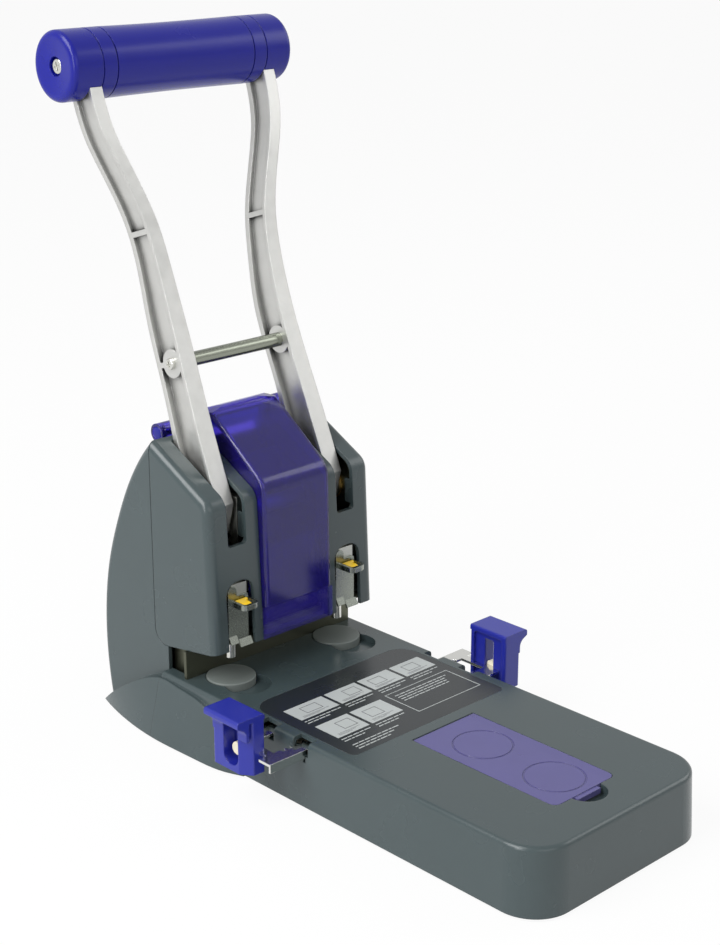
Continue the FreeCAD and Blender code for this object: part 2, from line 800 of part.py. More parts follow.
def centre_cover():
    """Hinged cover over the chip channel, arched along its crest, with two hinge lugs."""
    front = cover_front
    brow_y, brow_z = front + 1.5, head_shoulder + 5.5
    slope_y, slope_z = 12.3, (brow_z + cover_crown) / 2 + cover_bulge
    crown_y = head_seam - 8.0
    heel_y, heel_z = cover_hinge_y + 3.0, cover_hinge_z - 4.0
    points = [(front, cover_split), (brow_y, brow_z, 12.0), (slope_y, slope_z, 60.0),
              (crown_y, cover_crown, 7.0), (crown_y + 12.0, cover_crown - 4.0, 5.0),
              (heel_y, heel_z), (heel_y - 5.0, heel_z - 5.0),
              (-1.0, head_shoulder - 8.5), (front + 9.0, cover_split)]
    outer = prism(points, "X", -cover_half_width, cover_half_width)
    outer = rounded(outer, cover_edge, cover_side_edge)
    arch = Part.makeCylinder(cover_arch_radius, 100, V(0, -20, cover_crown - cover_arch_radius), V(0, 1, 0))
    outer = outer.common(arch)
    wall = cover_wall
    hollow = [(front + wall, cover_split - 1), (brow_y + wall, brow_z - wall, 10.0),
              (slope_y + 0.4, slope_z - wall - 0.4, 58.0),
              (crown_y, cover_crown - 2 * wall - 1.3, 5.0),
              (crown_y + 11.0, cover_crown - 2 * wall - 4.3, 3.0),
              (heel_y - wall, heel_z - 2.0), (heel_y + 5.0, heel_z - 15.0),
              (-1.0, head_shoulder - 24.0), (front + 20.0, cover_split - 1)]
    half = cover_half_width - wall
    cover = outer.cut(prism(hollow, "X", -half, half))

    hub_x = lug_inner_x - 2 * hinge_side_gap - hinge_eye_width
    hub = rod_x(cover_lug_radius, -hub_x, hub_x, cover_hinge_y, cover_hinge_z)
    lug = rod_x(cover_lug_radius, lug_inner_x, lug_outer_x, cover_hinge_y, cover_hinge_z)
    sleeve = rod_x(cover_lug_radius, hub_x, lug_inner_x, cover_hinge_y, cover_hinge_z)
    sleeve = sleeve.cut(rod_x(hinge_eye_radius + 0.3, 0, 60, cover_hinge_y, cover_hinge_z))
    behind = box(0, 60, cover_hinge_y + 0.2, cover_hinge_y + 9, cover_hinge_z + 1.8, cover_hinge_z + 9)
    bridge = sleeve.common(behind)
    cover = fused([cover, hub, lug, mirrored(lug), bridge, mirrored(bridge)])
    bore = rod_x(hinge_pin_radius + running_fit, lug_inner_x - 1, lug_outer_x + 1, cover_hinge_y, cover_hinge_z)
    mouth_x = lug_outer_x - pin_recess + 0.5
    mouth = rod_x(hinge_eye_radius - 0.3, mouth_x, lug_outer_x + 1, cover_hinge_y, cover_hinge_z)
    recess = bore.fuse(mouth)
    return cover.cut(recess).cut(mirrored(recess))


def lower_guard():
    front = cover_front
    half = cover_half_width + cover_gap
    low = head_bottom + 0.3
    lip = [(front, low, 2.0), (front, cover_split - 0.3), (front + 2.0, cover_split - 0.3),
           (front + 2.0, low + 2.0), (front + 7.7, low + 2.0), (front + 7.7, low)]
    side = [(front, low, 2.0), (front, cover_split - 0.3),
            (front + 7.7, cover_split - 0.3), (front + 7.7, low)]
    cheek = prism(side, "X", half - 2.0, half)
    return fused([prism(lip, "X", -half, half), cheek, mirrored(cheek)])


def chip_box():
    """Open tray between the punches, its sides cut away where the rams travel."""
    low = guide_plate_bottom + guide_plate_thickness
    half = chip_half_width
    front = chip_front + chip_wall
    outer = box(-half, half, chip_front, chip_rear, low, chip_top)
    inner = box(chip_wall - half, half - chip_wall, front, chip_rear - chip_wall, low + chip_wall, chip_top + 1)
    inlet = box(-half - 1, half + 1, front, inlet_rear, ram_bottom - stroke + 4, chip_top + 1)
    return outer.cut(inner).cut(inlet)


# ---------------------------------------------------------------- steel frame

def chassis():
    half = frame_inner_x + frame_thickness
    top = box(-half, half, chassis_front, chassis_rear, chassis_top - chassis_plate, chassis_top)
    flange_low = rim_height + bottom_thickness
    flange = box(half - chassis_flange, half, chassis_front, chassis_rear, flange_low, chassis_top)
    return fused([top, flange, mirrored(flange)])


def side_frame():
    front = stop_y + stop_thickness
    shoulder = pivot_z + frame_shoulder
    points = [(front, chassis_top), (front, guide_plate_bottom), (frame_front, head_bottom + 9, 4.0),
              (frame_front, shoulder, 8.0), (frame_crest[0], pivot_z + frame_crest[1], 8.0),
              (frame_rear, shoulder, 10.0), (*frame_heel, 20.0), (frame_foot_rear, chassis_top)]
    plate = prism(points, "X", frame_inner_x, frame_inner_x + frame_thickness)
    return plate.cut(rod_x(shaft_radius + 2.0, 40, 70, pivot_y, pivot_z))


def shaft_bushes():
    x0 = frame_inner_x - 1.0
    x1 = frame_inner_x + frame_thickness + 1.0
    sleeve = rod_x(shaft_radius + 2.0, frame_inner_x, x1, pivot_y, pivot_z)
    collar = rod_x(shaft_radius + 3.5, x0, frame_inner_x, pivot_y, pivot_z)
    bush = fused([sleeve, collar])
    return both_sides(bush.cut(rod_x(shaft_radius + running_fit, 40, 70, pivot_y, pivot_z)))


def guide_plate():
    z0 = guide_plate_bottom
    z1 = z0 + guide_plate_thickness
    plate = box(-frame_inner_x, frame_inner_x, -5.5, 60, z0, z1)
    for x in (-punch_x, punch_x):
        plate = plate.cut(rod_z(punch_diameter / 2 + running_fit, z0 - 1, z1 + 1, x, 0))
        plate = plate.cut(rod_z(rod_radius + running_fit, z0 - 1, z1 + 1, x, rod_offset))
    return plate


def back_stop():
    """Steel plate behind the punches, wider where it shows below the head."""
    rear = stop_y + stop_thickness
    shoulder = head_bottom - 4.3
    inner = head_half_width - shell_wall - 0.3
    points = [(-stop_half_width, base_top), (stop_half_width, base_top), (stop_half_width, shoulder),
              (inner, shoulder), (inner, guide_plate_bottom), (-inner, guide_plate_bottom),
              (-inner, shoulder), (-stop_half_width, shoulder)]
    plate = prism(points, "Y", stop_y, rear)
    for x in (-punch_x, punch_x):
        plate = plate.cut(rod_z(disc_radius + disc_play, base_top - 1, disc_top + 0.3, x, 0))
    return plate


def guide_rods():
    top = ram_bottom + ram_height + 7
    return [rod_z(rod_radius, guide_plate_bottom, top, x, rod_offset) for x in (-punch_x, punch_x)]


def return_spring(x):
    """Closed coil round the guide rod, under the ram."""
    low = guide_plate_bottom + guide_plate_thickness
    wire_radius = spring_wire / 2
    coil_radius = rod_radius + spring_play + wire_radius
    rise = ram_bottom - low - spring_wire
    steps = spring_turns * 8
    path = []
    for i in range(steps + 1):
        turn = 2 * math.pi * i / 8
        path.append(V(coil_radius * math.cos(turn), coil_radius * math.sin(turn), rise * i / steps))
    centre_line = Part.BSplineCurve()
    centre_line.interpolate(path)
    section = Part.Wire(Part.makeCircle(wire_radius, path[0], V(0, 1, 0)))
    coil = Part.Wire(centre_line.toShape()).makePipeShell([section], True, True)
    coil.translate(V(x, rod_offset, low + wire_radius))
    return coil


# ---------------------------------------------------------------- rams and punches

def ram(side):
    x = side * punch_x
    top = ram_bottom + ram_height
    body_points = [(x - ram_half_width, -5.5, 3.0), (x - ram_half_width, rod_offset + 7.0, 4.0),
                   (x + ram_half_width, rod_offset + 7.0, 4.0), (x + ram_half_width, -5.5, 3.0)]
    body = prism(body_points, "Z", ram_bottom, top)
    nose = box(x - 6, x + 6, -7.6, -4, ram_bottom - 4, ram_bottom + 7.5)
    rack_low, rack_high = ram_bottom, pivot_z + stroke + 4.5
    profile = rack_points(drive_module, rack_low, rack_high, pivot_z, -7.0)
    points = [(rack_line + across, height) for height, across in profile]
    x0 = side * rack_inner_x
    bar = Part.Face(outline(points, "X", x0)).extrude(V(side * drive_width, 0, 0))
    bridge_x = sorted((side * rack_inner_x, x))
    bridge = box(bridge_x[0], bridge_x[1], -1.0, rack_line - 1.5, ram_bottom, top)
    block = fused([body, nose, bar, bridge])
    block = block.cut(rod_z(rod_radius + running_fit, 0, 200, x, rod_offset))
    block = block.cut(rod_z(punch_diameter / 2, 0, top - 4, x, 0))
    outlet = rod_x(2.5, min(0, x), max(0, x), 0, top - 5)
    return block.cut(outlet)


def punch_pin(x):
    top = ram_bottom + ram_height - 8
    pin = rod_z(punch_diameter / 2, punch_tip, top, x, 0)
    return pin.cut(rod_z(punch_bore / 2, punch_tip - 1, top + 1, x, 0))


def clip_bracket(x):
    """Bent strip in front of the ram, with a loop for the release tongue."""
    face = -7.6
    plate_low = head_bottom + 3.3
    loop_z = ram_bottom - 4
    plate = box(x - 8, x + 6, face - 1.2, face, plate_low, ram_bottom - 1)
    upper = prism([(x - 8, loop_z), (x - 8, ram_bottom + 7, 3.0),
                   (x - 2, ram_bottom + 7, 3.0), (x - 2, ram_bottom + 1),
                   (x + 6, ram_bottom + 1, 1.0), (x + 6, loop_z)], "Y", face - 1.2, face)
    loop = prism([(x - 6, face), (x - 6, face - 12.5, 3.0), (x + 6, face - 12.5, 5.0), (x + 6, face)],
                 "Z", loop_z, loop_z + 3)
    hole = prism([(x - 4.2, face - 1.2), (x - 4.2, face - 10.5, 1.5),
                  (x + 4.2, face - 10.5, 3.0), (x + 4.2, face - 1.2)],
                 "Z", loop_z - 1, loop_z + 4)
    ledge = box(x - 4.4, x + 4.4, face - 10.7, face - 9.3, loop_z, loop_z + 0.8)
    lips = []
    for x0, x1, z in ((x - 8, x - 2.5, plate_low), (x - 1, x + 7.5, plate_low - 3)):
        lip = prism([(face, z + 4), (face - 1.2, z + 4), (face - 3.4, z), (face - 2.2, z - 0.4)], "X", x0, x1)
        lips.append(lip)
        lips.append(box(x0, min(x1, x + 6), face - 1.2, face, z + 3.5, plate_low + 6))
    bracket = fused([plate, upper, loop.cut(hole), ledge] + lips)
    return bracket.cut(rod_x(0.6, x - 5.4, x + 5.4, face - 2.6, loop_z + 2.0))


def release_tongue(x):
    face = -7.6
    loop_z = ram_bottom - 4
    axis_y, axis_z = face - 2.6, loop_z + 2.0
    barrel = rod_x(1.15, x - 3.9, x + 3.9, axis_y, axis_z)
    pin = rod_x(0.55, x - 5.3, x + 5.3, axis_y, axis_z)
    points = [(axis_y, loop_z + 0.85), (axis_y, loop_z + 3.1),
              (face - 8.0, loop_z + 3.1), (face - 10.2, loop_z + 2.4),
              (face - 10.2, loop_z + 0.85)]
    tongue = prism(points, "X", x - 3.6, x + 1.4)
    return fused([barrel, pin, tongue])


# ---------------------------------------------------------------- lever

def to_lever(shape):
    """Move a shape drawn with the pivot at the origin and the handle straight above."""
    shape.rotate(V(0, 0, 0), V(1, 0, 0), -lever_lean)
    shape.translate(V(0, pivot_y, pivot_z))
    return shape


def arm_side(front_inset, rear_inset):
    """Front and rear curves of the arm, seen from the side."""
    front = [(-row[1] + front_inset, row[0] * lever_length) for row in arm_stations]
    rear = [(row[2] - rear_inset, row[0] * lever_length) for row in arm_stations[1:]]
    return front, rear


def arm_sweep(row):
    return punch_x + row[3] * (handle_arm_x - punch_x)


def arm_slab(inner, outer):
    """Slab between two curves beside the arm's middle surface; each is a function of a row."""
    first = [(inner(row), row[0] * lever_length) for row in arm_stations]
    second = [(outer(row), row[0] * lever_length) for row in arm_stations]
    low = -2 * arm_eye_radius
    first = [(first[0][0], low)] + first
    second = [(second[0][0], low)] + second
    edges = [spline(first, "Y", -60), spline(second, "Y", -60)]
    edges.append(segment(first[0], second[0], "Y", -60))
    edges.append(segment(first[-1], second[-1], "Y", -60))
    return Part.Face(Part.Wire(Part.__sortEdges__(edges))).extrude(V(0, 120, 0))


def side_face(edges):
    return Part.Face(Part.Wire(Part.__sortEdges__(edges))).extrude(V(100, 0, 0))


def arm_blank():
    """Arm without its pockets: the side outline within the two sideways curves."""
    front, rear = arm_side(0, 0)
    r = arm_eye_radius
    part = r * math.sqrt(0.5)
    place = on_plane("X", 0)
    edges = [spline(front, "X", 0), segment(front[-1], rear[-1], "X", 0), spline(rear, "X", 0)]
    edges.append(segment(rear[0], (r, 0), "X", 0))
    edges.append(Part.Arc(place(r, 0), place(0, -r), place(-part, -part)).toShape())
    edges.append(segment((-part, -part), front[0], "X", 0))
    width = arm_slab(lambda row: arm_sweep(row) - row[4] / 2, lambda row: arm_sweep(row) + row[4] / 2)
    return side_face(edges).common(width)


def arm_pockets():
    """Hollows on both sides of the web, broken by a rib and the cross rod's boss."""
    front, rear = arm_side(arm_front_flange, arm_rear_flange)
    rear = [(rear[0][0], front[0][1])] + rear
    edges = [spline(front, "X", 0), segment(front[-1], rear[-1], "X", 0), spline(rear, "X", 0)]
    edges.append(segment(rear[0], front[0], "X", 0))
    pocket = side_face(edges)
    pocket = pocket.cut(rod_x(arm_eye_radius + 1.0, -1, 101, 0, 0))
    pocket = pocket.cut(rod_x(brace_boss_radius, -1, 101, -brace_forward, brace_distance))
    half = arm_rib_thickness / 2
    pocket = pocket.cut(box(-1, 101, 0, 60, brace_distance - half, brace_distance + half))
    rib_z = arm_rib * lever_length
    pocket = pocket.cut(box(-1, 101, -60, 60, rib_z - half, rib_z + half))
    outer_side = arm_slab(lambda row: arm_sweep(row) + arm_web / 2, lambda row: arm_sweep(row) + 20)
    inner_side = arm_slab(lambda row: arm_sweep(row) - 20, lambda row: arm_sweep(row) - arm_web / 2)
    return pocket.common(outer_side), pocket.common(inner_side)


def arm():
    body = arm_blank()
    for pocket in arm_pockets():
        body = body.cut(pocket)
    half = arm_stations[-1][4] / 2
    eye = rod_x(arm_top_radius, handle_arm_x - half, handle_arm_x + half, 0, lever_length)
    body = fused([body, eye])
    body = body.cut(rod_x(tie_rod_radius, 0, 100, 0, lever_length))
    body = body.cut(rod_x(shaft_radius, 0, 100, 0, 0))
    body = body.cut(rod_x(brace_bore, 0, 100, -brace_forward, brace_distance))
    return to_lever(body)


def brace_inner_x():
    row = arm_stations[2]
    return arm_sweep(row) - row[4] / 2


def brace_outer_x():
    row = arm_stations[2]
    return arm_sweep(row) + row[4] / 2


def cross_rod():
    """Round rod between the arms, bored at both ends for its screws."""
    half = brace_inner_x() - 0.05
    rod = rod_x(brace_radius, -half, half, -brace_forward, brace_distance)
    bore = rod_x(2.0, half - 10, half + 1, -brace_forward, brace_distance)
    return to_lever(rod.cut(bore).cut(mirrored(bore)))


def screw(seat, length, head_radius, y, z):
    """Round-headed screw along X with a cross recess, its head outside the seat."""
    head = rod_x(head_radius, seat, seat + 2.2, y, z)
    head = rounded(head, 0.9, lambda edge: edge.BoundBox.XMin > seat + 2.1)
    shank = rod_x(1.95, seat - length, seat, y, z)
    reach = 0.58 * head_radius
    upright = box(seat + 1.2, seat + 3, y - 0.45, y + 0.45, z - reach, z + reach)
    level = box(seat + 1.2, seat + 3, y - reach, y + reach, z - 0.45, z + 0.45)
    return to_lever(fused([head, shank]).cut(upright.fuse(level)))


def brace_screw():
    seat = brace_outer_x() + 0.05
    length = seat - brace_inner_x() + 8
    return screw(seat, length, 3.2, -brace_forward, brace_distance)


def lever_shaft():
    """Shaft with the two drive pinions cut on it; a tooth points at each rack."""
    shaft = rod_x(shaft_radius, -frame_inner_x - 4.5, frame_inner_x + 4.5, 0, 0)
    wheel = gear(drive_teeth, drive_module, drive_width)
    wheel.rotate(V(0, 0, 0), V(0, 1, 0), 90)
    wheel.rotate(V(0, 0, 0), V(1, 0, 0), 90)
    wheel.translate(V(rack_inner_x, 0, 0))
    shaft = fused([shaft, wheel, mirrored(wheel)])
    shaft.translate(V(0, pivot_y, pivot_z))
    return shaft


def shaft_spacers():
    x0 = punch_x + arm_root_width / 2 + 0.1
    x1 = frame_inner_x - 1.1
    tube = rod_x(shaft_radius + 2.5, x0, x1, pivot_y, pivot_z)
    return both_sides(tube.cut(rod_x(shaft_radius, 30, 60, pivot_y, pivot_z)))


def handle_barrel():
    """Grip tube, a little waisted."""
    end = cap_joint - joint_gap / 2
    r = handle_radius
    bore = r - 4
    edges = [segment((-end, bore), (-end, r), "Y", 0)]
    edges.append(spline([(-end, r), (-end / 2, r - 0.3), (0, r - 0.4), (end / 2, r - 0.3), (end, r)], "Y", 0))
    edges.append(segment((end, r), (end, bore), "Y", 0))
    edges.append(segment((end, bore), (-end, bore), "Y", 0))
    barrel = Part.Face(Part.Wire(edges)).revolve(V(0, 0, 0), V(1, 0, 0), 360)
    barrel.translate(V(0, 0, lever_length))
    return to_lever(barrel)


def handle_cap():
    """End cap: a spigot in the barrel, a groove, a dished face and a screw seat."""
    r = handle_radius
    end = handle_half_length
    wall = 3.6
    bore = r - wall
    lip = bore - 1.5
    joint = cap_joint + joint_gap / 2
    spigot = cap_joint - 5.0
    groove = end - cap_groove
    seat = end - 4.0
    points = [(joint, lip), (spigot, lip), (spigot, r - 4.1), (joint, r - 4.1), (joint, r),
              (groove - 0.4, r), (groove - 0.4, r - 0.6), (groove + 0.4, r - 0.6), (groove + 0.4, r),
              (end, r, 3.2), (end, r - 4.2), (end - 1.0, 5.2), (seat, 5.2), (seat, 2.2),
              (seat - 2.5, 2.2), (seat - 2.5, 7.0), (seat, 10.0), (seat, bore),
              (joint + 2, bore), (joint + 2, lip)]
    ring = Part.Face(outline(points, "Y", 0)).revolve(V(0, 0, 0), V(1, 0, 0), 360)
    ring.translate(V(0, 0, lever_length))
    half = arm_stations[-1][4] / 2 + 0.3
    slot = box(handle_arm_x - half, handle_arm_x + half, -11.9, 6.2, lever_length - 30, lever_length)
    return to_lever(ring.cut(slot))


def tie_rod():
    half = handle_half_length - 6.6
    rod = rod_x(tie_rod_radius, -half, half, 0, lever_length)
    for side in (-1, 1):
        x0, x1 = sorted((side * (half - 12), side * (half + 1)))
        rod = rod.cut(rod_x(2.0, x0, x1, 0, lever_length))
    return to_lever(rod)


def cap_screw():
    return screw(handle_half_length - 4.0, 11, 4.2, 0, lever_length)


# ---------------------------------------------------------------- paper guides

def turned(shape, drop):
    """The right guide is the left one turned half round, one sheet lower."""
    copy = shape.copy()
    copy.rotate(V(0, guide_centre, 0), V(0, 0, 1), 180)
    copy.translate(V(0, 0, -drop))
    return copy


def guide_slide():
    """Left slide: two prongs, the front one toothed on its rear edge."""
    z0 = slide_top - slide_thickness
    outer_x = 3.3 - guide_outer_x
    cross_x = slide_cross_inset - guide_outer_x
    edge = addendum_share * guide_module
    line = guide_centre - guide_radius
    front_y = line + edge - 9.0
    profile = rack_points(guide_module, cross_x, 52.0, 0.0, front_y - line)
    rack = prism([(along_, line + across) for along_, across in profile], "Z", z0, slide_top)
    front = box(outer_x, cross_x + 0.5, front_y, line + edge, z0, slide_top)
    rear_low = guide_centre + 9.0
    rear = box(cross_x - 5.0, -40.0, rear_low, rear_low + prong_width, z0, slide_top)
    cross = box(cross_x - 5.0, cross_x, front_y, rear_low + prong_width, z0, slide_top)
    lip = box(outer_x, -5.0, front_y, front_y + 1.2, slide_top - slide_lip, slide_top)
    return fused([rack, front, rear, cross, lip])


def block_rear():
    return guide_centre + guide_block_offset + guide_block_length / 2


def guide_block(slide):
    """Left guide: frame round a slot, chamfered stile in front, flared finger lip on top."""
    x0 = -guide_inner_x
    x1 = -guide_outer_x
    rear = block_rear()
    front = rear - guide_block_length
    low, high = guide_block_bottom, guide_block_top
    plan = [(x0, rear, 1.0), (x0, front, 1.5), (x1 + 4.5, front, 0.8), (x1, front + 6.5, 0.8), (x1, rear, 1.5)]
    body = prism(plan, "Z", low, high - 2.0)
    tip = x1 - guide_lip
    lip = [(x0, high - 3.0), (x0, high, 1.2), (tip, high, 1.6), (tip, high - 3.6, 0.6),
           (x1, high - 6.5, 5.0), (x1, high - 13.0), (x1 + 2, high - 13.0), (x1 + 2, high - 3.0)]
    body = fused([body, prism(lip, "Y", front, rear)])

    slot_rear = rear - guide_stile
    slot_front = slot_rear - guide_slot
    slot_top = high - 4.0
    slot = prism([(slot_rear, low + 3.5, 5.0), (slot_rear, slot_top, 1.0),
                  (slot_front, slot_top, 1.0), (slot_front, low + 3.5, 5.0)], "X", tip - 1, x0 - 3.5)
    narrow = prism([(slot_rear - 2.0, low + 5.5, 3.0), (slot_rear - 2.0, slot_top - 2.0, 1.0),
                    (slot_front + 3.0, slot_top - 2.0, 1.0), (slot_front + 3.0, low + 5.5, 3.0)],
                   "X", x0 - 4, x0 + 1)
    face = prism([(rear - 3.0, low + 3.0, 2.0), (rear - 3.0, high - 3.0, 2.0), (front + 3.0, high - 3.0, 2.0),
                  (front + 3.0, low + 3.0, 2.0)], "X", x0 - 1.8, x0 + 1)
    body = body.cut(slot).cut(narrow).cut(face)
    return body.cut(slide).cut(guide_stud(slide.BoundBox.ZMax))


def guide_stud(top):
    """Round stud on the end of the slide, seen at the bottom of the block's slot."""
    x = slide_cross_inset - 5.0 - guide_outer_x
    y = block_rear() - guide_stile - guide_slot / 2
    return rod_x(guide_stud_radius, x - 4.5, x, y, top - slide_thickness / 2)


def guide_pinion():
    low = slide_top - 2 * slide_thickness - slide_gap - 0.2
    high = slide_top + 0.2
    wheel = gear(guide_teeth, guide_module, high - low)
    wheel.rotate(V(0, 0, 0), V(0, 0, 1), -90)
    wheel.translate(V(0, guide_centre, low))
    return wheel.cut(rod_z(3.0 + running_fit, 0, 60, 0, guide_centre))


def pinion_screw():
    top = slide_top - 2 * slide_thickness - slide_gap - 0.3
    return fused([rod_z(6, top - 1.0, top, 0, guide_centre), rod_z(3, top - 2.8, top - 1.0, 0, guide_centre)])


def guide_retainer():
    """Plate under the slides, hung on four posts inside the base."""
    top = slide_top - 2 * slide_thickness - slide_gap - 0.2
    half = guide_radius - addendum_share * guide_module + 9.0 - 1.4
    half_length = base_half_width - 7.2
    plate = box(-half_length, half_length, guide_centre - half, guide_centre + half, top - 2, top)
    plate = plate.cut(rod_z(13, 0, 60, 0, guide_centre))
    posts = [rod_z(3, top, base_top - shell_wall, x, guide_centre) for x in (-45, -22, 22, 45)]
    return fused([plate] + posts)


# ---------------------------------------------------------------- build

def build():
    os.makedirs("parts", exist_ok=True)
    save("base_shell", base_shell())
    save("rear_shell", rear_shell())
    save("head_front_cover", front_cover())
    save("centre_cover", centre_cover())
    save("cover_hinge_pins", hinge_pins())
    save("lower_guard", lower_guard())
    save("chip_box", chip_box())
    save("bottom_plate", bottom_plate())
    save("rubber_feet", feet())
    save("label_panel", label_plate(0, base_top - label_depth, base_top))
    save("spare_disc_lid", spare_lid())
    box_floor = base_top - box_depth
    save("spare_discs", [cutting_disc(0, y, box_floor) for y in spare_places()])

    save("chassis", chassis())
    frame = side_frame()
    save("side_frame_right", frame)
    save("side_frame_left", mirrored(frame))
    save("shaft_bushes", shaft_bushes())
    save("guide_plate", guide_plate())
    save("back_stop", back_stop())
    save("guide_rods", guide_rods())

    for name, side in (("left", -1), ("right", 1)):
        x = side * punch_x
        save("cutting_disc_" + name, cutting_disc(x, 0, disc_seat))
        save("ram_" + name, ram(side))
        save("punch_pin_" + name, punch_pin(x))
        save("clip_bracket_" + name, clip_bracket(x))
        save("release_tongue_" + name, release_tongue(x))
        save("return_spring_" + name, return_spring(x))

    right_arm = arm()
    save("lever_arm_right", right_arm)
    save("lever_arm_left", mirrored(right_arm))
    save("cross_rod", cross_rod())
    save("cross_rod_screws", both_sides(brace_screw()))
    save("lever_shaft", lever_shaft())
    save("shaft_spacers", shaft_spacers())
    save("handle_barrel", handle_barrel())
    cap = handle_cap()
    save("handle_cap_right", cap)
    save("handle_cap_left", mirrored(cap))
    save("handle_tie_rod", tie_rod())
    save("handle_screws", both_sides(cap_screw()))

    level = slide_thickness + slide_gap
    slide = guide_slide()
    block = guide_block(slide)
    save("guide_slide_left", slide)
    save("guide_slide_right", turned(slide, level))
    save("guide_block_left", block)
    save("guide_block_right", turned(guide_block(slide.translated(V(0, 0, -level))), 0))
    save("guide_stud_left", guide_stud(slide_top))
    save("guide_stud_right", turned(guide_stud(slide_top), level))
    save("guide_pinion", guide_pinion())
    save("guide_pinion_screw", pinion_screw())
    save("guide_retainer", guide_retainer())


build()
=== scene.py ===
import math

import bpy
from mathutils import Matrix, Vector


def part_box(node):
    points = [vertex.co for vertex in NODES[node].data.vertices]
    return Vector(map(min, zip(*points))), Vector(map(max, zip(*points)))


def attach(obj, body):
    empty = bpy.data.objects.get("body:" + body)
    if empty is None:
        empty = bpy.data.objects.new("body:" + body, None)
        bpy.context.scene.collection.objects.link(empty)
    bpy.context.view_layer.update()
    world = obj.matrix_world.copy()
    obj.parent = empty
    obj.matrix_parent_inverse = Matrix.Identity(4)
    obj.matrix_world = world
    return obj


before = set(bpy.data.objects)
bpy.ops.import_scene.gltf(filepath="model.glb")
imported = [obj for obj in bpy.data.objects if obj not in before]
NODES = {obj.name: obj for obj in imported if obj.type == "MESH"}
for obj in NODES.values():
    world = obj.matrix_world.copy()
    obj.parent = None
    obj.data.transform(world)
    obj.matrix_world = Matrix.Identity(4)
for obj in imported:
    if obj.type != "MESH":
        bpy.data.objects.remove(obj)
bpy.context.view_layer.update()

bl_info = {
    "name": "Long Lever Hole Punch",
    "version": (1, 0, 0),
    "blender": (4, 5, 0),
    "location": "View3D > Sidebar > Hole Punch",
    "description": "Finishes, small fittings and studio stage for a two-hole desk punch",
    "category": "Object",
}

MM = 0.001


# ---------------------------------------------------------------- colours and small tools

def colour(red, green, blue):
    """Screen colour in 0 to 255 steps, as the linear colour that a shader takes."""
    def linear(value):
        value = value / 255.0
        return value / 12.92 if value <= 0.04045 else ((value + 0.055) / 1.055) ** 2.4
    return (linear(red), linear(green), linear(blue), 1.0)


SHELL_GREY = colour(62, 74, 76)
GRIP_BLUE = colour(12, 18, 132)
GUIDE_BLUE = colour(34, 42, 148)
WINDOW_BLUE = colour(74, 58, 200)
LABEL_DARK = colour(34, 39, 42)
LABEL_PALE = colour(180, 185, 184)
CAST_METAL = colour(204, 204, 201)
# painted shade for the inner corners of the cast arms, not a colour the metal has
PAINTED_CORNER_SHADE = colour(44, 45, 45)
TONGUE_YELLOW = colour(252, 206, 40)
STUD_IVORY = colour(232, 224, 200)
STROKE_DARK = colour(92, 92, 96)
DISC_GREY = colour(112, 119, 116)
RUBBER_BLACK = colour(28, 28, 29)
LID_BLUE = colour(104, 100, 158)
GUARD_BLUE = colour(60, 50, 165)
STEEL_GREY = colour(176, 178, 172)
PLATED_WHITE = colour(214, 214, 208)
SLIDE_WHITE = colour(226, 226, 222)
CLIP_ZINC = colour(142, 147, 139)
ROD_GREY = colour(142, 146, 134)
FRAME_STEEL = colour(96, 98, 84)
BUSH_BRASS = colour(196, 160, 92)
WHITE = (1.0, 1.0, 1.0, 1.0)

NOISE_LOW = 0.3               # most of a noise lies between these two values
NOISE_HIGH = 0.7
OPEN_CORNER = 0.85            # ambient occlusion above which no shade is painted into a casting's colour
CLOSED_CORNER = 0.25          # and at which the painted corner shade is darkest


def deselect():
    bpy.ops.object.select_all(action="DESELECT")


# ---------------------------------------------------------------- finishes

def fresh_material(name):
    """Material with only a Principled shader and its output."""
    material = bpy.data.materials.new(name)
    material.use_nodes = True
    return material, material.node_tree.nodes["Principled BSDF"]


def link(owner, source, target):
    owner.node_tree.links.new(source, target)


def add_node(owner, kind, **settings):
    """New node in the tree of a material or world."""
    node = owner.node_tree.nodes.new(kind)
    for key, value in settings.items():
        setattr(node, key, value)
    return node


def calculate(owner, operation, first, second):
    """Math node on a socket and another socket or number."""
    node = add_node(owner, "ShaderNodeMath", operation=operation)
    link(owner, first, node.inputs[0])
    if isinstance(second, float):
        node.inputs[1].default_value = second
    else:
        link(owner, second, node.inputs[1])
    return node.outputs["Value"]


def map_range(material, source, source_low, source_high, low=0.0, high=1.0):
    ranged = add_node(material, "ShaderNodeMapRange")
    ranged.inputs["From Min"].default_value = source_low
    ranged.inputs["From Max"].default_value = source_high
    ranged.inputs["To Min"].default_value = low
    ranged.inputs["To Max"].default_value = high
    link(material, source, ranged.inputs["Value"])
    return ranged.outputs["Result"]


def grain(material, scale, detail=3.0, stretch=(1.0, 1.0, 1.0)):
    """Noise in object space; scale is in grains per metre."""
    place = add_node(material, "ShaderNodeTexCoord")
    mapping = add_node(material, "ShaderNodeMapping")
    mapping.inputs["Scale"].default_value = stretch
    noise = add_node(material, "ShaderNodeTexNoise")
    noise.inputs["Scale"].default_value = scale
    noise.inputs["Detail"].default_value = detail
    link(material, place.outputs["Object"], mapping.inputs["Vector"])
    link(material, mapping.outputs["Vector"], noise.inputs["Vector"])
    return noise


def roughen(material, shader, noise, low, high):
    """Let the roughness follow a noise between two values."""
    rough = map_range(material, noise.outputs["Fac"], NOISE_LOW, NOISE_HIGH, low, high)
    link(material, rough, shader.inputs["Roughness"])


def tint(material, shader, noise, base, share):
    """Vary the base colour a little, darker and lighter."""
    mix = add_node(material, "ShaderNodeMix", data_type="RGBA")
    mix.inputs["A"].default_value = (*[part * (1 - share) for part in base[:3]], 1.0)
    mix.inputs["B"].default_value = (*[min(1.0, part * (1 + share)) for part in base[:3]], 1.0)
    link(material, noise.outputs["Fac"], mix.inputs["Factor"])
    link(material, mix.outputs["Result"], shader.inputs["Base Color"])


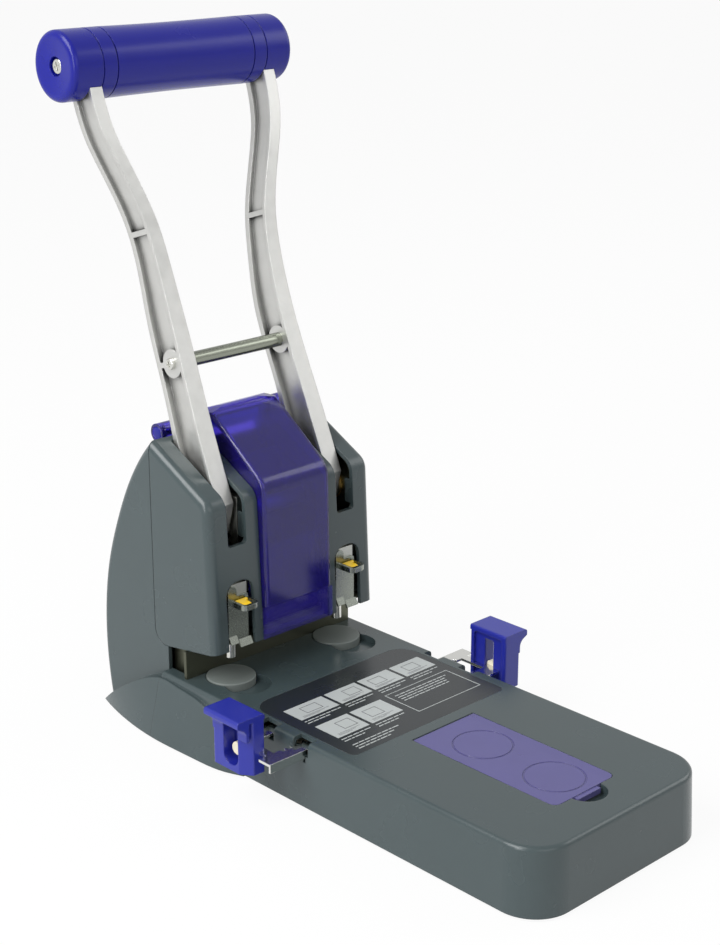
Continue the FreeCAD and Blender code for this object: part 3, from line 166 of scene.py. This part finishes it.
def relief(material, shader, noise, depth, edge):
    """Fine bump, over edges that catch light as if broken by a small radius."""
    bump = add_node(material, "ShaderNodeBump")
    bump.inputs["Distance"].default_value = depth
    bump.inputs["Strength"].default_value = 1.0
    link(material, noise.outputs["Fac"], bump.inputs["Height"])
    if edge:
        bevel = add_node(material, "ShaderNodeBevel", samples=4)
        bevel.inputs["Radius"].default_value = edge
        link(material, bevel.outputs["Normal"], bump.inputs["Normal"])
    link(material, bump.outputs["Normal"], shader.inputs["Normal"])


def moulded_plastic(name, base, roughness, depth, edge, shine=0.5):
    material, shader = fresh_material(name)
    cloud = grain(material, scale=35.0)
    tint(material, shader, cloud, base, share=0.05)
    roughen(material, shader, cloud, roughness - 0.03, roughness + 0.04)
    spark = grain(material, scale=1600.0, detail=2.0)
    relief(material, shader, spark, depth, edge)
    shader.inputs["Specular IOR Level"].default_value = shine
    return material


def see_through_plastic(name, base, alpha, roughness, clear=0.0):
    """Tinted plastic; clear is the share of light that passes through its body."""
    material, shader = fresh_material(name)
    cloud = grain(material, scale=40.0)
    tint(material, shader, cloud, base, share=0.08)
    roughen(material, shader, cloud, roughness - 0.02, roughness + 0.03)
    relief(material, shader, cloud, depth=0.00002, edge=0.0006)
    shader.inputs["Alpha"].default_value = alpha
    shader.inputs["Transmission Weight"].default_value = clear
    shader.inputs["IOR"].default_value = 1.49
    return material


def metal(name, base, roughness, depth, edge, stretch=(1.0, 1.0, 1.0)):
    """Worked metal; stretch above 1 packs the brush marks closer along that axis."""
    material, shader = fresh_material(name)
    shader.inputs["Metallic"].default_value = 1.0
    brushed = grain(material, scale=900.0, stretch=stretch)
    tint(material, shader, brushed, base, share=0.06)
    roughen(material, shader, brushed, roughness - 0.05, roughness + 0.06)
    relief(material, shader, brushed, depth, edge)
    return material


def rubber(name, base):
    material, shader = fresh_material(name)
    speck = grain(material, scale=1200.0)
    tint(material, shader, speck, base, share=0.15)
    roughen(material, shader, speck, 0.7, 0.85)
    relief(material, shader, speck, depth=0.00004, edge=0.0005)
    return material


def paint_corner_shade(material, shader, dark, reach):
    """Paint shade into the base colour in inner corners, where ambient occlusion finds them."""
    base = shader.inputs["Base Color"].links[0].from_socket
    nearness = add_node(material, "ShaderNodeAmbientOcclusion", samples=8, only_local=True)
    nearness.inputs["Distance"].default_value = reach
    openness = map_range(material, nearness.outputs["AO"], CLOSED_CORNER, OPEN_CORNER)
    mix = add_node(material, "ShaderNodeMix", data_type="RGBA")
    mix.inputs["A"].default_value = dark
    link(material, openness, mix.inputs["Factor"])
    link(material, base, mix.inputs["B"])
    link(material, mix.outputs["Result"], shader.inputs["Base Color"])


def cast_aluminium(name, base):
    """Die-cast skin: soft mottling and painted shade in inner corners, with a fine grain over it.
    """
    material, shader = fresh_material(name)
    shader.inputs["Metallic"].default_value = 0.85
    mottle = grain(material, scale=140.0, detail=5.0)
    tint(material, shader, mottle, base, share=0.10)
    # painted shade: the base colour darkens towards a dark grey in inner corners
    paint_corner_shade(material, shader, PAINTED_CORNER_SHADE, reach=0.008)
    roughen(material, shader, mottle, 0.34, 0.46)
    fine = grain(material, scale=1500.0, detail=2.0)
    relief(material, shader, fine, depth=0.00003, edge=0.0009)
    return material


FINISHES = {}


def make_plastics(settings):
    FINISHES["shell"] = moulded_plastic("moulded_grey", (*settings.shell_colour, 1.0),
                                        roughness=0.25, depth=0.000003, edge=0.0008)
    FINISHES["grip"] = moulded_plastic("grip_blue", (*settings.grip_colour, 1.0),
                                       roughness=0.24, depth=0.000004, edge=0.0006, shine=0.35)
    FINISHES["guide"] = moulded_plastic("guide_blue", GUIDE_BLUE,
                                        roughness=0.24, depth=0.000004, edge=0.0010)
    FINISHES["disc"] = moulded_plastic("disc_grey", DISC_GREY,
                                       roughness=0.55, depth=0.00002, edge=0.0004)
    FINISHES["yellow"] = moulded_plastic("tongue_yellow", TONGUE_YELLOW,
                                         roughness=0.3, depth=0.00001, edge=0.0004)
    FINISHES["ivory"] = moulded_plastic("stud_ivory", STUD_IVORY,
                                        roughness=0.45, depth=0.00001, edge=0.0005)
    FINISHES["rubber"] = rubber("foot_rubber", RUBBER_BLACK)
    FINISHES["window"] = see_through_plastic("window_blue", WINDOW_BLUE,
                                             alpha=1.0, roughness=0.12, clear=0.88)
    FINISHES["lid"] = see_through_plastic("lid_blue", LID_BLUE, alpha=0.7, roughness=0.2)
    FINISHES["guard"] = see_through_plastic("guard_blue", GUARD_BLUE, alpha=0.30, roughness=0.04)


def make_label_finishes():
    """The panel, and flat print whose edges need no rounding."""
    FINISHES["label"] = moulded_plastic("label_panel_dark", LABEL_DARK,
                                        roughness=0.28, depth=0.000006, edge=0.0002)
    FINISHES["print"] = moulded_plastic("label_print_pale", LABEL_PALE,
                                        roughness=0.4, depth=0.000004, edge=0.0)
    FINISHES["stroke"] = moulded_plastic("label_stroke_grey", STROKE_DARK,
                                         roughness=0.4, depth=0.000004, edge=0.0)


def make_metals():
    FINISHES["cast"] = cast_aluminium("cast_arm", CAST_METAL)
    FINISHES["steel"] = metal("worked_steel", STEEL_GREY,
                              roughness=0.32, depth=0.00001, edge=0.0003, stretch=(1.0, 1.0, 8.0))
    FINISHES["bright"] = metal("plated_steel", PLATED_WHITE,
                               roughness=0.16, depth=0.000004, edge=0.0003)
    FINISHES["plate"] = metal("plated_slide", SLIDE_WHITE,
                              roughness=0.14, depth=0.000004, edge=0.0004, stretch=(1.0, 6.0, 1.0))
    FINISHES["clip"] = metal("clip_zinc", CLIP_ZINC,
                             roughness=0.24, depth=0.00001, edge=0.0003, stretch=(6.0, 1.0, 1.0))
    FINISHES["rod"] = metal("ground_rod", ROD_GREY,
                            roughness=0.22, depth=0.000006, edge=0.0003, stretch=(1.0, 8.0, 8.0))
    FINISHES["frame"] = metal("frame_steel", FRAME_STEEL,
                              roughness=0.38, depth=0.00001, edge=0.0004, stretch=(1.0, 1.0, 6.0))
    FINISHES["brass"] = metal("bush_brass", BUSH_BRASS, roughness=0.3, depth=0.00001, edge=0.0003)


NODE_FINISH = {
    "shell": ["base_shell", "rear_shell", "head_front_cover"],
    "disc": ["cutting_disc_left", "cutting_disc_right", "spare_discs"],
    "grip": ["handle_barrel", "handle_cap_left", "handle_cap_right"],
    "guide": ["guide_block_left", "guide_block_right"],
    "window": ["centre_cover"],
    "lid": ["spare_disc_lid"],
    "guard": ["lower_guard", "chip_box"],
    "cast": ["lever_arm_left", "lever_arm_right"],
    "steel": ["lever_shaft", "ram_left", "ram_right", "return_spring_left", "return_spring_right",
              "guide_rods", "shaft_spacers"],
    "rod": ["cross_rod"],
    "plate": ["guide_slide_left", "guide_slide_right"],
    "bright": ["cross_rod_screws", "handle_screws", "handle_tie_rod", "punch_pin_left",
               "punch_pin_right", "guide_pinion_screw", "cover_hinge_pins"],
    "clip": ["clip_bracket_left", "clip_bracket_right"],
    "frame": ["chassis", "side_frame_left", "side_frame_right", "guide_plate", "back_stop",
              "bottom_plate"],
    "yellow": ["release_tongue_left", "release_tongue_right"],
    "ivory": ["guide_stud_left", "guide_stud_right", "guide_pinion", "guide_retainer"],
    "rubber": ["rubber_feet"],
    "label": ["label_panel"],
    "brass": ["shaft_bushes"],
}


def dress(obj, finish):
    obj.data.materials.clear()
    obj.data.materials.append(FINISHES[finish])


# ---------------------------------------------------------------- hinge plugs

def hinge_plug(side, settings):
    """Rounded plug that closes the outer end of a hinge lug."""
    low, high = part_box("cover_hinge_pins")
    y = (low[1] + high[1]) / 2
    z = (low[2] + high[2]) / 2
    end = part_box("centre_cover")[1][0]
    inner = high[0] + settings.plug_clearance
    deselect()
    bpy.ops.mesh.primitive_cylinder_add(vertices=48, radius=settings.plug_radius, depth=end - inner,
                                        location=(side * (inner + end) / 2, y, z),
                                        rotation=(0.0, side * math.pi / 2, 0.0))
    plug = bpy.context.object
    bpy.ops.object.transform_apply(location=True, rotation=True, scale=True)
    rounding = plug.modifiers.new("rim", "BEVEL")
    rounding.width = settings.plug_rounding
    rounding.segments = 4
    rounding.limit_method = "ANGLE"
    bpy.ops.object.modifier_apply(modifier=rounding.name)
    bpy.ops.object.shade_smooth_by_angle(angle=math.radians(40.0))
    plug.name = "hinge_plug_left" if side < 0 else "hinge_plug_right"
    dress(plug, "grip")
    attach(plug, "cover")


# ---------------------------------------------------------------- label print

# A stand-in drawing, in shares of its picture's width and depth: a sheet that shifts from
# picture to picture, over three bars that grow shorter
SHEET_LEFT = 0.30
SHEET_TOP = 0.22
SHEET_WIDTH = 0.42
SHEET_DEPTH = 0.46
SHEET_SHIFT = 0.14
SHIFT_STEP = 2.0              # in radians of a sine, from picture to picture
BAR_LEFT = 0.12
BAR_TOP = 0.80
BAR_STEP = 0.05
BAR_LENGTH = 0.7
BAR_SHRINK = 0.15
STROKE_SHARE = 0.8            # stroke of a drawing against the outlined box's line

# Words of a printed line, in millimetres
SHORTEST_WORD = 1.6
WORD_SPREAD = 2.8
WORD_STEP = 1.7               # in radians of a sine, from word to word
WORD_GAP = 0.7
SHORTEST_REST = 1.5           # a line ends when less than this is left

# Blocks of blank print: top of the first row in line steps, then lengths in shares of the
# picture's width or in millimetres, and seeds that give each row other words
CAPTION_START = 0.9
CAPTION_LENGTH = 0.94
CAPTION_SHRINK = 0.3
CAPTION_SEED = 7.0
NOTE_START = 1.6
NOTE_INSET = 4.0
NOTE_MARGINS = 9.0
NOTE_SHRINK = 1.5
NOTE_SEED = 0.4
FOOT_SHRINK = 4.0
FOOT_SEED = 2.2


def panel_spot(across, down):
    """Point on the panel, in metres, from millimetres off its left and rear edges."""
    low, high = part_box("label_panel")
    return low[0] + across * MM, high[1] - down * MM, high[2]


def print_bar(left, top, width, depth, rise, height):
    """Flat bar of print, in millimetres from the panel's left and rear edges."""
    x, y, z = panel_spot(left + width / 2, top + depth / 2)
    size = (width * MM, depth * MM, height)
    bpy.ops.mesh.primitive_cube_add(size=1.0, location=(x, y, z + rise + height / 2), scale=size)
    return bpy.context.object


def finish_print(bars, name, finish):
    """Join bars into one piece that lies on the machine's body."""
    deselect()
    for bar in bars:
        bar.select_set(True)
    bpy.context.view_layer.objects.active = bars[0]
    bpy.ops.object.join()
    piece = bpy.context.object
    bpy.ops.object.transform_apply(location=True, rotation=True, scale=True)
    piece.name = name
    dress(piece, finish)
    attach(piece, "machine")


def picture_places(settings):
    """Left, top, width and depth of each picture: four in the first row, two in the second."""
    gap = settings.picture_gap
    places = []
    left = settings.margin
    for width in (settings.first_width, *[settings.picture_width] * 3):
        places.append((left, settings.first_row, width, settings.first_depth))
        left += width + gap
    for i in range(2):
        left = settings.margin + i * (settings.picture_width + gap)
        places.append((left, settings.second_row, settings.picture_width, settings.second_depth))
    return places


def word_lengths(total, seed):
    """Starts and lengths of the words that fill a printed line."""
    words = []
    used = 0.0
    while used < total - SHORTEST_REST:
        word = SHORTEST_WORD + WORD_SPREAD * abs(math.sin(seed + WORD_STEP * len(words)))
        word = min(word, total - used)
        words.append((used, word))
        used += word + WORD_GAP
    return words


def printed_line(left, top, length, seed, settings):
    return [print_bar(left + start, top, word, settings.line_depth, 0.0, settings.print_height)
            for start, word in word_lengths(length, seed)]


def box_outline(left, top, width, depth, line, rise, height):
    """Rear, front, left and right bars round a box."""
    return [print_bar(left, top, width, line, rise, height),
            print_bar(left, top + depth - line, width, line, rise, height),
            print_bar(left, top + line, line, depth - 2 * line, rise, height),
            print_bar(left + width - line, top + line, line, depth - 2 * line, rise, height)]


def picture_strokes(place, index, settings):
    """Plain sheet outline and bars that stand for a drawing."""
    left, top, width, depth = place
    rise = settings.print_height
    height = settings.print_height / 2
    shift = SHEET_SHIFT * width * math.sin(SHIFT_STEP * index)
    sheet_left = left + SHEET_LEFT * width + shift
    sheet_top = top + SHEET_TOP * depth
    sheet_width = SHEET_WIDTH * width
    sheet_depth = SHEET_DEPTH * depth
    line = settings.frame_line * STROKE_SHARE
    bars = box_outline(sheet_left, sheet_top, sheet_width, sheet_depth + line, line, rise, height)
    for i in range(3):
        bar_top = top + (BAR_TOP + BAR_STEP * i) * depth
        bar_length = (BAR_LENGTH - BAR_SHRINK * i) * width
        bars.append(print_bar(left + BAR_LEFT * width, bar_top, bar_length, line / 2, rise, height))
    return bars


def picture_captions(settings):
    """Two rows of print under each picture."""
    bars = []
    for index, (left, top, width, depth) in enumerate(picture_places(settings)):
        for row in range(2):
            below = top + depth + settings.line_step * (row + CAPTION_START)
            length = width * (CAPTION_LENGTH - CAPTION_SHRINK * row)
            bars.extend(printed_line(left, below, length, index + CAPTION_SEED * row, settings))
    return bars


def boxed_note(settings):
    """Outlined box with four rows of print in its upper part."""
    bars = box_outline(settings.frame_left, settings.frame_top,
                       settings.frame_width, settings.frame_depth,
                       settings.frame_line, 0.0, settings.print_height)
    left = settings.frame_left + NOTE_INSET
    for row in range(4):
        top = settings.frame_top + settings.line_step * (row + NOTE_START)
        length = settings.frame_width - NOTE_MARGINS - NOTE_SHRINK * row
        bars.extend(printed_line(left, top, length, row + NOTE_SEED, settings))
    return bars


def foot_rows(settings):
    """Three rows of print at the panel's front left."""
    bars = []
    for row in range(3):
        top = settings.foot_top + settings.line_step * row
        length = settings.foot_length - FOOT_SHRINK * row
        bars.extend(printed_line(settings.margin, top, length, row + FOOT_SEED, settings))
    return bars


# ---------------------------------------------------------------- stage

GLOSS_SHARE = 0.6             # how far the world turns white for glossy reflections
WORLD_STRENGTH = 0.38
FLOOR_SIZE = 60.0
FLOOR_GREY = (0.86, 0.86, 0.86, 1.0)
FLOOR_WHITENESS = 0.93        # share of the floor's colour that the camera sees as plain white

LAMP_TARGET = Vector((0.0, 0.02, 0.12))

# Place in metres, width and height in metres, and power in watts of each soft lamp
LAMPS = {
    "key_lamp": ((-1.3, 0.35, 1.6), (1.2, 1.2), 30.0),
    "left_lamp": ((-1.7, -0.25, 0.8), (0.35, 1.3), 11.0),
    "front_lamp": ((-0.5, -1.7, 1.0), (1.4, 1.0), 4.5),
    "right_lamp": ((1.5, -0.6, 1.1), (1.2, 1.0), 8.0),
}


def look_at_machine(settings):
    """Camera at the viewing angle of a person beside the left guide."""
    camera = bpy.data.cameras.new("view_camera")
    camera.lens = settings.lens
    camera.sensor_width = 36.0
    holder = bpy.data.objects.new("view_camera", camera)
    holder.location = settings.camera_place
    holder.rotation_euler = (math.radians(90.0) - settings.camera_drop, 0.0, settings.camera_turn)
    bpy.context.scene.collection.objects.link(holder)
    bpy.context.scene.camera = holder


def soft_lamp(name, place, size, power):
    lamp = bpy.data.lights.new(name, "AREA")
    lamp.shape = "RECTANGLE"
    lamp.size = size[0]
    lamp.size_y = size[1]
    lamp.energy = power
    holder = bpy.data.objects.new(name, lamp)
    holder.location = place
    aim = LAMP_TARGET - Vector(place)
    holder.rotation_euler = aim.to_track_quat("-Z", "Y").to_euler()
    bpy.context.scene.collection.objects.link(holder)


def blend_surface(owner, share, usual, seen, output):
    """Show one shader, and another by a share of it that depends on the ray."""
    mix = add_node(owner, "ShaderNodeMixShader")
    link(owner, share, mix.inputs[0])
    link(owner, usual, mix.inputs[1])
    link(owner, seen, mix.inputs[2])
    link(owner, mix.outputs[0], owner.node_tree.nodes[output].inputs["Surface"])


def white_for_camera(material, shader, share):
    """Show the surface nearly white to the camera and in reflections, with its shadow kept."""
    rays = add_node(material, "ShaderNodeLightPath")
    glow = add_node(material, "ShaderNodeEmission")
    glow.inputs["Color"].default_value = WHITE
    seen = rays.outputs["Is Camera Ray"]
    for kind in ("Is Glossy Ray", "Is Transmission Ray"):
        seen = calculate(material, "MAXIMUM", seen, rays.outputs[kind])
    part = calculate(material, "MULTIPLY", seen, share)
    blend_surface(material, part, shader.outputs["BSDF"], glow.outputs["Emission"],
                  "Material Output")


def lay_floor():
    deselect()
    bpy.ops.mesh.primitive_plane_add(size=FLOOR_SIZE, location=(0.0, 0.0, 0.0))
    floor = bpy.context.object
    floor.name = "studio_floor"
    material, shader = fresh_material("studio_floor_white")
    shader.inputs["Base Color"].default_value = FLOOR_GREY
    shader.inputs["Roughness"].default_value = 0.9
    shader.inputs["Specular IOR Level"].default_value = 0.1
    white_for_camera(material, shader, FLOOR_WHITENESS)
    floor.data.materials.append(material)


def light_world():
    """Soft even light, seen as white by the camera and mostly white in reflections."""
    world = bpy.data.worlds.new("studio_world")
    world.use_nodes = True
    soft = world.node_tree.nodes["Background"]
    soft.inputs["Color"].default_value = WHITE
    soft.inputs["Strength"].default_value = WORLD_STRENGTH
    bright = add_node(world, "ShaderNodeBackground")
    bright.inputs["Color"].default_value = WHITE
    bright.inputs["Strength"].default_value = 1.0
    rays = add_node(world, "ShaderNodeLightPath")
    mirrored = calculate(world, "MULTIPLY", rays.outputs["Is Glossy Ray"], GLOSS_SHARE)
    direct = calculate(world, "MAXIMUM", rays.outputs["Is Camera Ray"], mirrored)
    blend_surface(world, direct, soft.outputs["Background"], bright.outputs["Background"],
                  "World Output")
    bpy.context.scene.world = world


# ---------------------------------------------------------------- sizes and colours to change

def metres(name, description, default, least=0.0):
    return bpy.props.FloatProperty(name=name, description=description, default=default, min=least,
                                   subtype="DISTANCE", unit="LENGTH")


def millimetres(name, description, default):
    return bpy.props.FloatProperty(name=name, description=description, default=default, min=0.0)


def paint(name, description, default):
    return bpy.props.FloatVectorProperty(name=name, description=description, default=default[:3],
                                         min=0.0, max=1.0, subtype="COLOR", size=3)


def angle(name, description, degrees):
    return bpy.props.FloatProperty(name=name, description=description,
                                   default=math.radians(degrees), subtype="ANGLE", unit="ROTATION")


class PunchSettings(bpy.types.PropertyGroup):
    """Colours of the main mouldings"""
    shell_colour: paint("Shell colour", "Colour of the grey mouldings", SHELL_GREY)
    grip_colour: paint("Grip colour", "Colour of the handle and the hinge plugs", GRIP_BLUE)


class HingeSettings(bpy.types.PropertyGroup):
    """Sizes of the plugs in the hinge lugs"""
    plug_radius: metres("Plug radius", "Radius of a hinge plug", 0.00365, least=0.001)
    plug_rounding: metres("Plug rounding", "Radius of a plug's rim", 0.0008)
    plug_clearance: metres("Plug clearance", "Gap from a plug to the hinge pin", 0.0007)


class LabelSettings(bpy.types.PropertyGroup):
    """Sizes on the label panel; all but the print's height are in millimetres"""
    print_height: metres("Print height", "How far the print stands above the panel", 0.00012)
    margin: millimetres("Margin", "Print to the panel's left edge", 8.0)
    first_row: millimetres("First row", "Top of the first pictures below the rear edge", 17.2)
    first_depth: millimetres("First depth", "Depth of the first row's pictures", 14.8)
    first_width: millimetres("First width", "Width of the first picture", 27.2)
    picture_width: millimetres("Picture width", "Width of the other pictures", 22.6)
    picture_gap: millimetres("Picture gap", "Gap between pictures", 2.2)
    second_row: millimetres("Second row", "Top of the second pictures below the rear edge", 42.3)
    second_depth: millimetres("Second depth", "Depth of the second row's pictures", 17.9)
    frame_left: millimetres("Frame left", "Left side of the outlined box", 60.4)
    frame_top: millimetres("Frame top", "Top of the outlined box", 41.0)
    frame_width: millimetres("Frame width", "Width of the outlined box", 48.2)
    frame_depth: millimetres("Frame depth", "Depth of the outlined box", 26.4)
    frame_line: millimetres("Frame line", "Thickness of the outline", 0.45)
    line_depth: millimetres("Line depth", "Depth of a printed line", 0.75)
    line_step: millimetres("Line step", "Printed line to the next", 2.4)
    foot_top: millimetres("Foot top", "First line of the last block below the rear edge", 70.6)
    foot_length: millimetres("Foot length", "Length of the last block's lines", 33.0)


class StageSettings(bpy.types.PropertyGroup):
    """Place and direction of the camera"""
    camera_place: bpy.props.FloatVectorProperty(
        name="Camera place", description="Where the camera stands",
        default=(-0.63153, -0.65121, 0.47198), subtype="TRANSLATION", unit="LENGTH")
    camera_turn: angle("Camera turn", "Turn of the camera about the vertical", -43.77)
    camera_drop: angle("Camera drop", "How far the camera looks down", 18.69)
    lens: bpy.props.FloatProperty(
        name="Lens", description="Focal length in millimetres", default=69.74, min=10.0)


# ---------------------------------------------------------------- operators

class PUNCH_OT_finishes(bpy.types.Operator):
    """Make the finishes and put them on the machine's own parts"""
    bl_idname = "punch.finishes"
    bl_label = "Finishes"

    def execute(self, context):
        make_plastics(context.scene.punch_settings)
        make_label_finishes()
        make_metals()
        for finish, names in NODE_FINISH.items():
            for name in names:
                dress(NODES[name], finish)
        return {"FINISHED"}


class PUNCH_OT_hinge_plugs(bpy.types.Operator):
    """Close the outer ends of the cover's two hinge lugs"""
    bl_idname = "punch.hinge_plugs"
    bl_label = "Hinge plugs"

    def execute(self, context):
        for side in (-1, 1):
            hinge_plug(side, context.scene.hinge_settings)
        return {"FINISHED"}


class PUNCH_OT_label_pictures(bpy.types.Operator):
    """Lay the plain picture boxes and their strokes on the label panel"""
    bl_idname = "punch.label_pictures"
    bl_label = "Label pictures"

    def execute(self, context):
        settings = context.scene.label_settings
        deselect()
        boxes = []
        strokes = []
        for index, place in enumerate(picture_places(settings)):
            boxes.append(print_bar(*place, 0.0, settings.print_height))
            strokes.extend(picture_strokes(place, index, settings))
        finish_print(boxes, "label_pictures", "print")
        finish_print(strokes, "label_strokes", "stroke")
        return {"FINISHED"}


class PUNCH_OT_label_words(bpy.types.Operator):
    """Lay the outlined box and the blank rows of print on the label panel"""
    bl_idname = "punch.label_words"
    bl_label = "Label words"

    def execute(self, context):
        settings = context.scene.label_settings
        deselect()
        bars = boxed_note(settings)
        bars.extend(picture_captions(settings))
        bars.extend(foot_rows(settings))
        finish_print(bars, "label_words", "print")
        return {"FINISHED"}


class PUNCH_OT_stage(bpy.types.Operator):
    """Set the floor, lamps, world and camera"""
    bl_idname = "punch.stage"
    bl_label = "Stage"

    def execute(self, context):
        settings = context.scene.stage_settings
        context.scene.view_settings.view_transform = "Standard"
        look_at_machine(settings)
        light_world()
        lay_floor()
        for name, lamp in LAMPS.items():
            soft_lamp(name, *lamp)
        return {"FINISHED"}


OPERATORS = (PUNCH_OT_finishes, PUNCH_OT_hinge_plugs, PUNCH_OT_label_pictures, PUNCH_OT_label_words,
             PUNCH_OT_stage)


class PUNCH_PT_panel(bpy.types.Panel):
    """Steps that dress the hole punch"""
    bl_idname = "PUNCH_PT_panel"
    bl_label = "Hole Punch"
    bl_space_type = "VIEW_3D"
    bl_region_type = "UI"
    bl_category = "Hole Punch"

    def draw(self, context):
        for operator in OPERATORS:
            self.layout.operator(operator.bl_idname)


SETTINGS = {
    "punch_settings": PunchSettings,
    "hinge_settings": HingeSettings,
    "label_settings": LabelSettings,
    "stage_settings": StageSettings,
}
CLASSES = (*SETTINGS.values(), *OPERATORS, PUNCH_PT_panel)


def register():
    for cls in CLASSES:
        bpy.utils.register_class(cls)
    for name, group in SETTINGS.items():
        setattr(bpy.types.Scene, name, bpy.props.PointerProperty(type=group))


def unregister():
    for name in SETTINGS:
        delattr(bpy.types.Scene, name)
    for cls in reversed(CLASSES):
        bpy.utils.unregister_class(cls)


def main():
    register()
    bpy.ops.punch.finishes()
    bpy.ops.punch.hinge_plugs()
    bpy.ops.punch.label_pictures()
    bpy.ops.punch.label_words()
    bpy.ops.punch.stage()


if __name__ == "__main__":
    main()
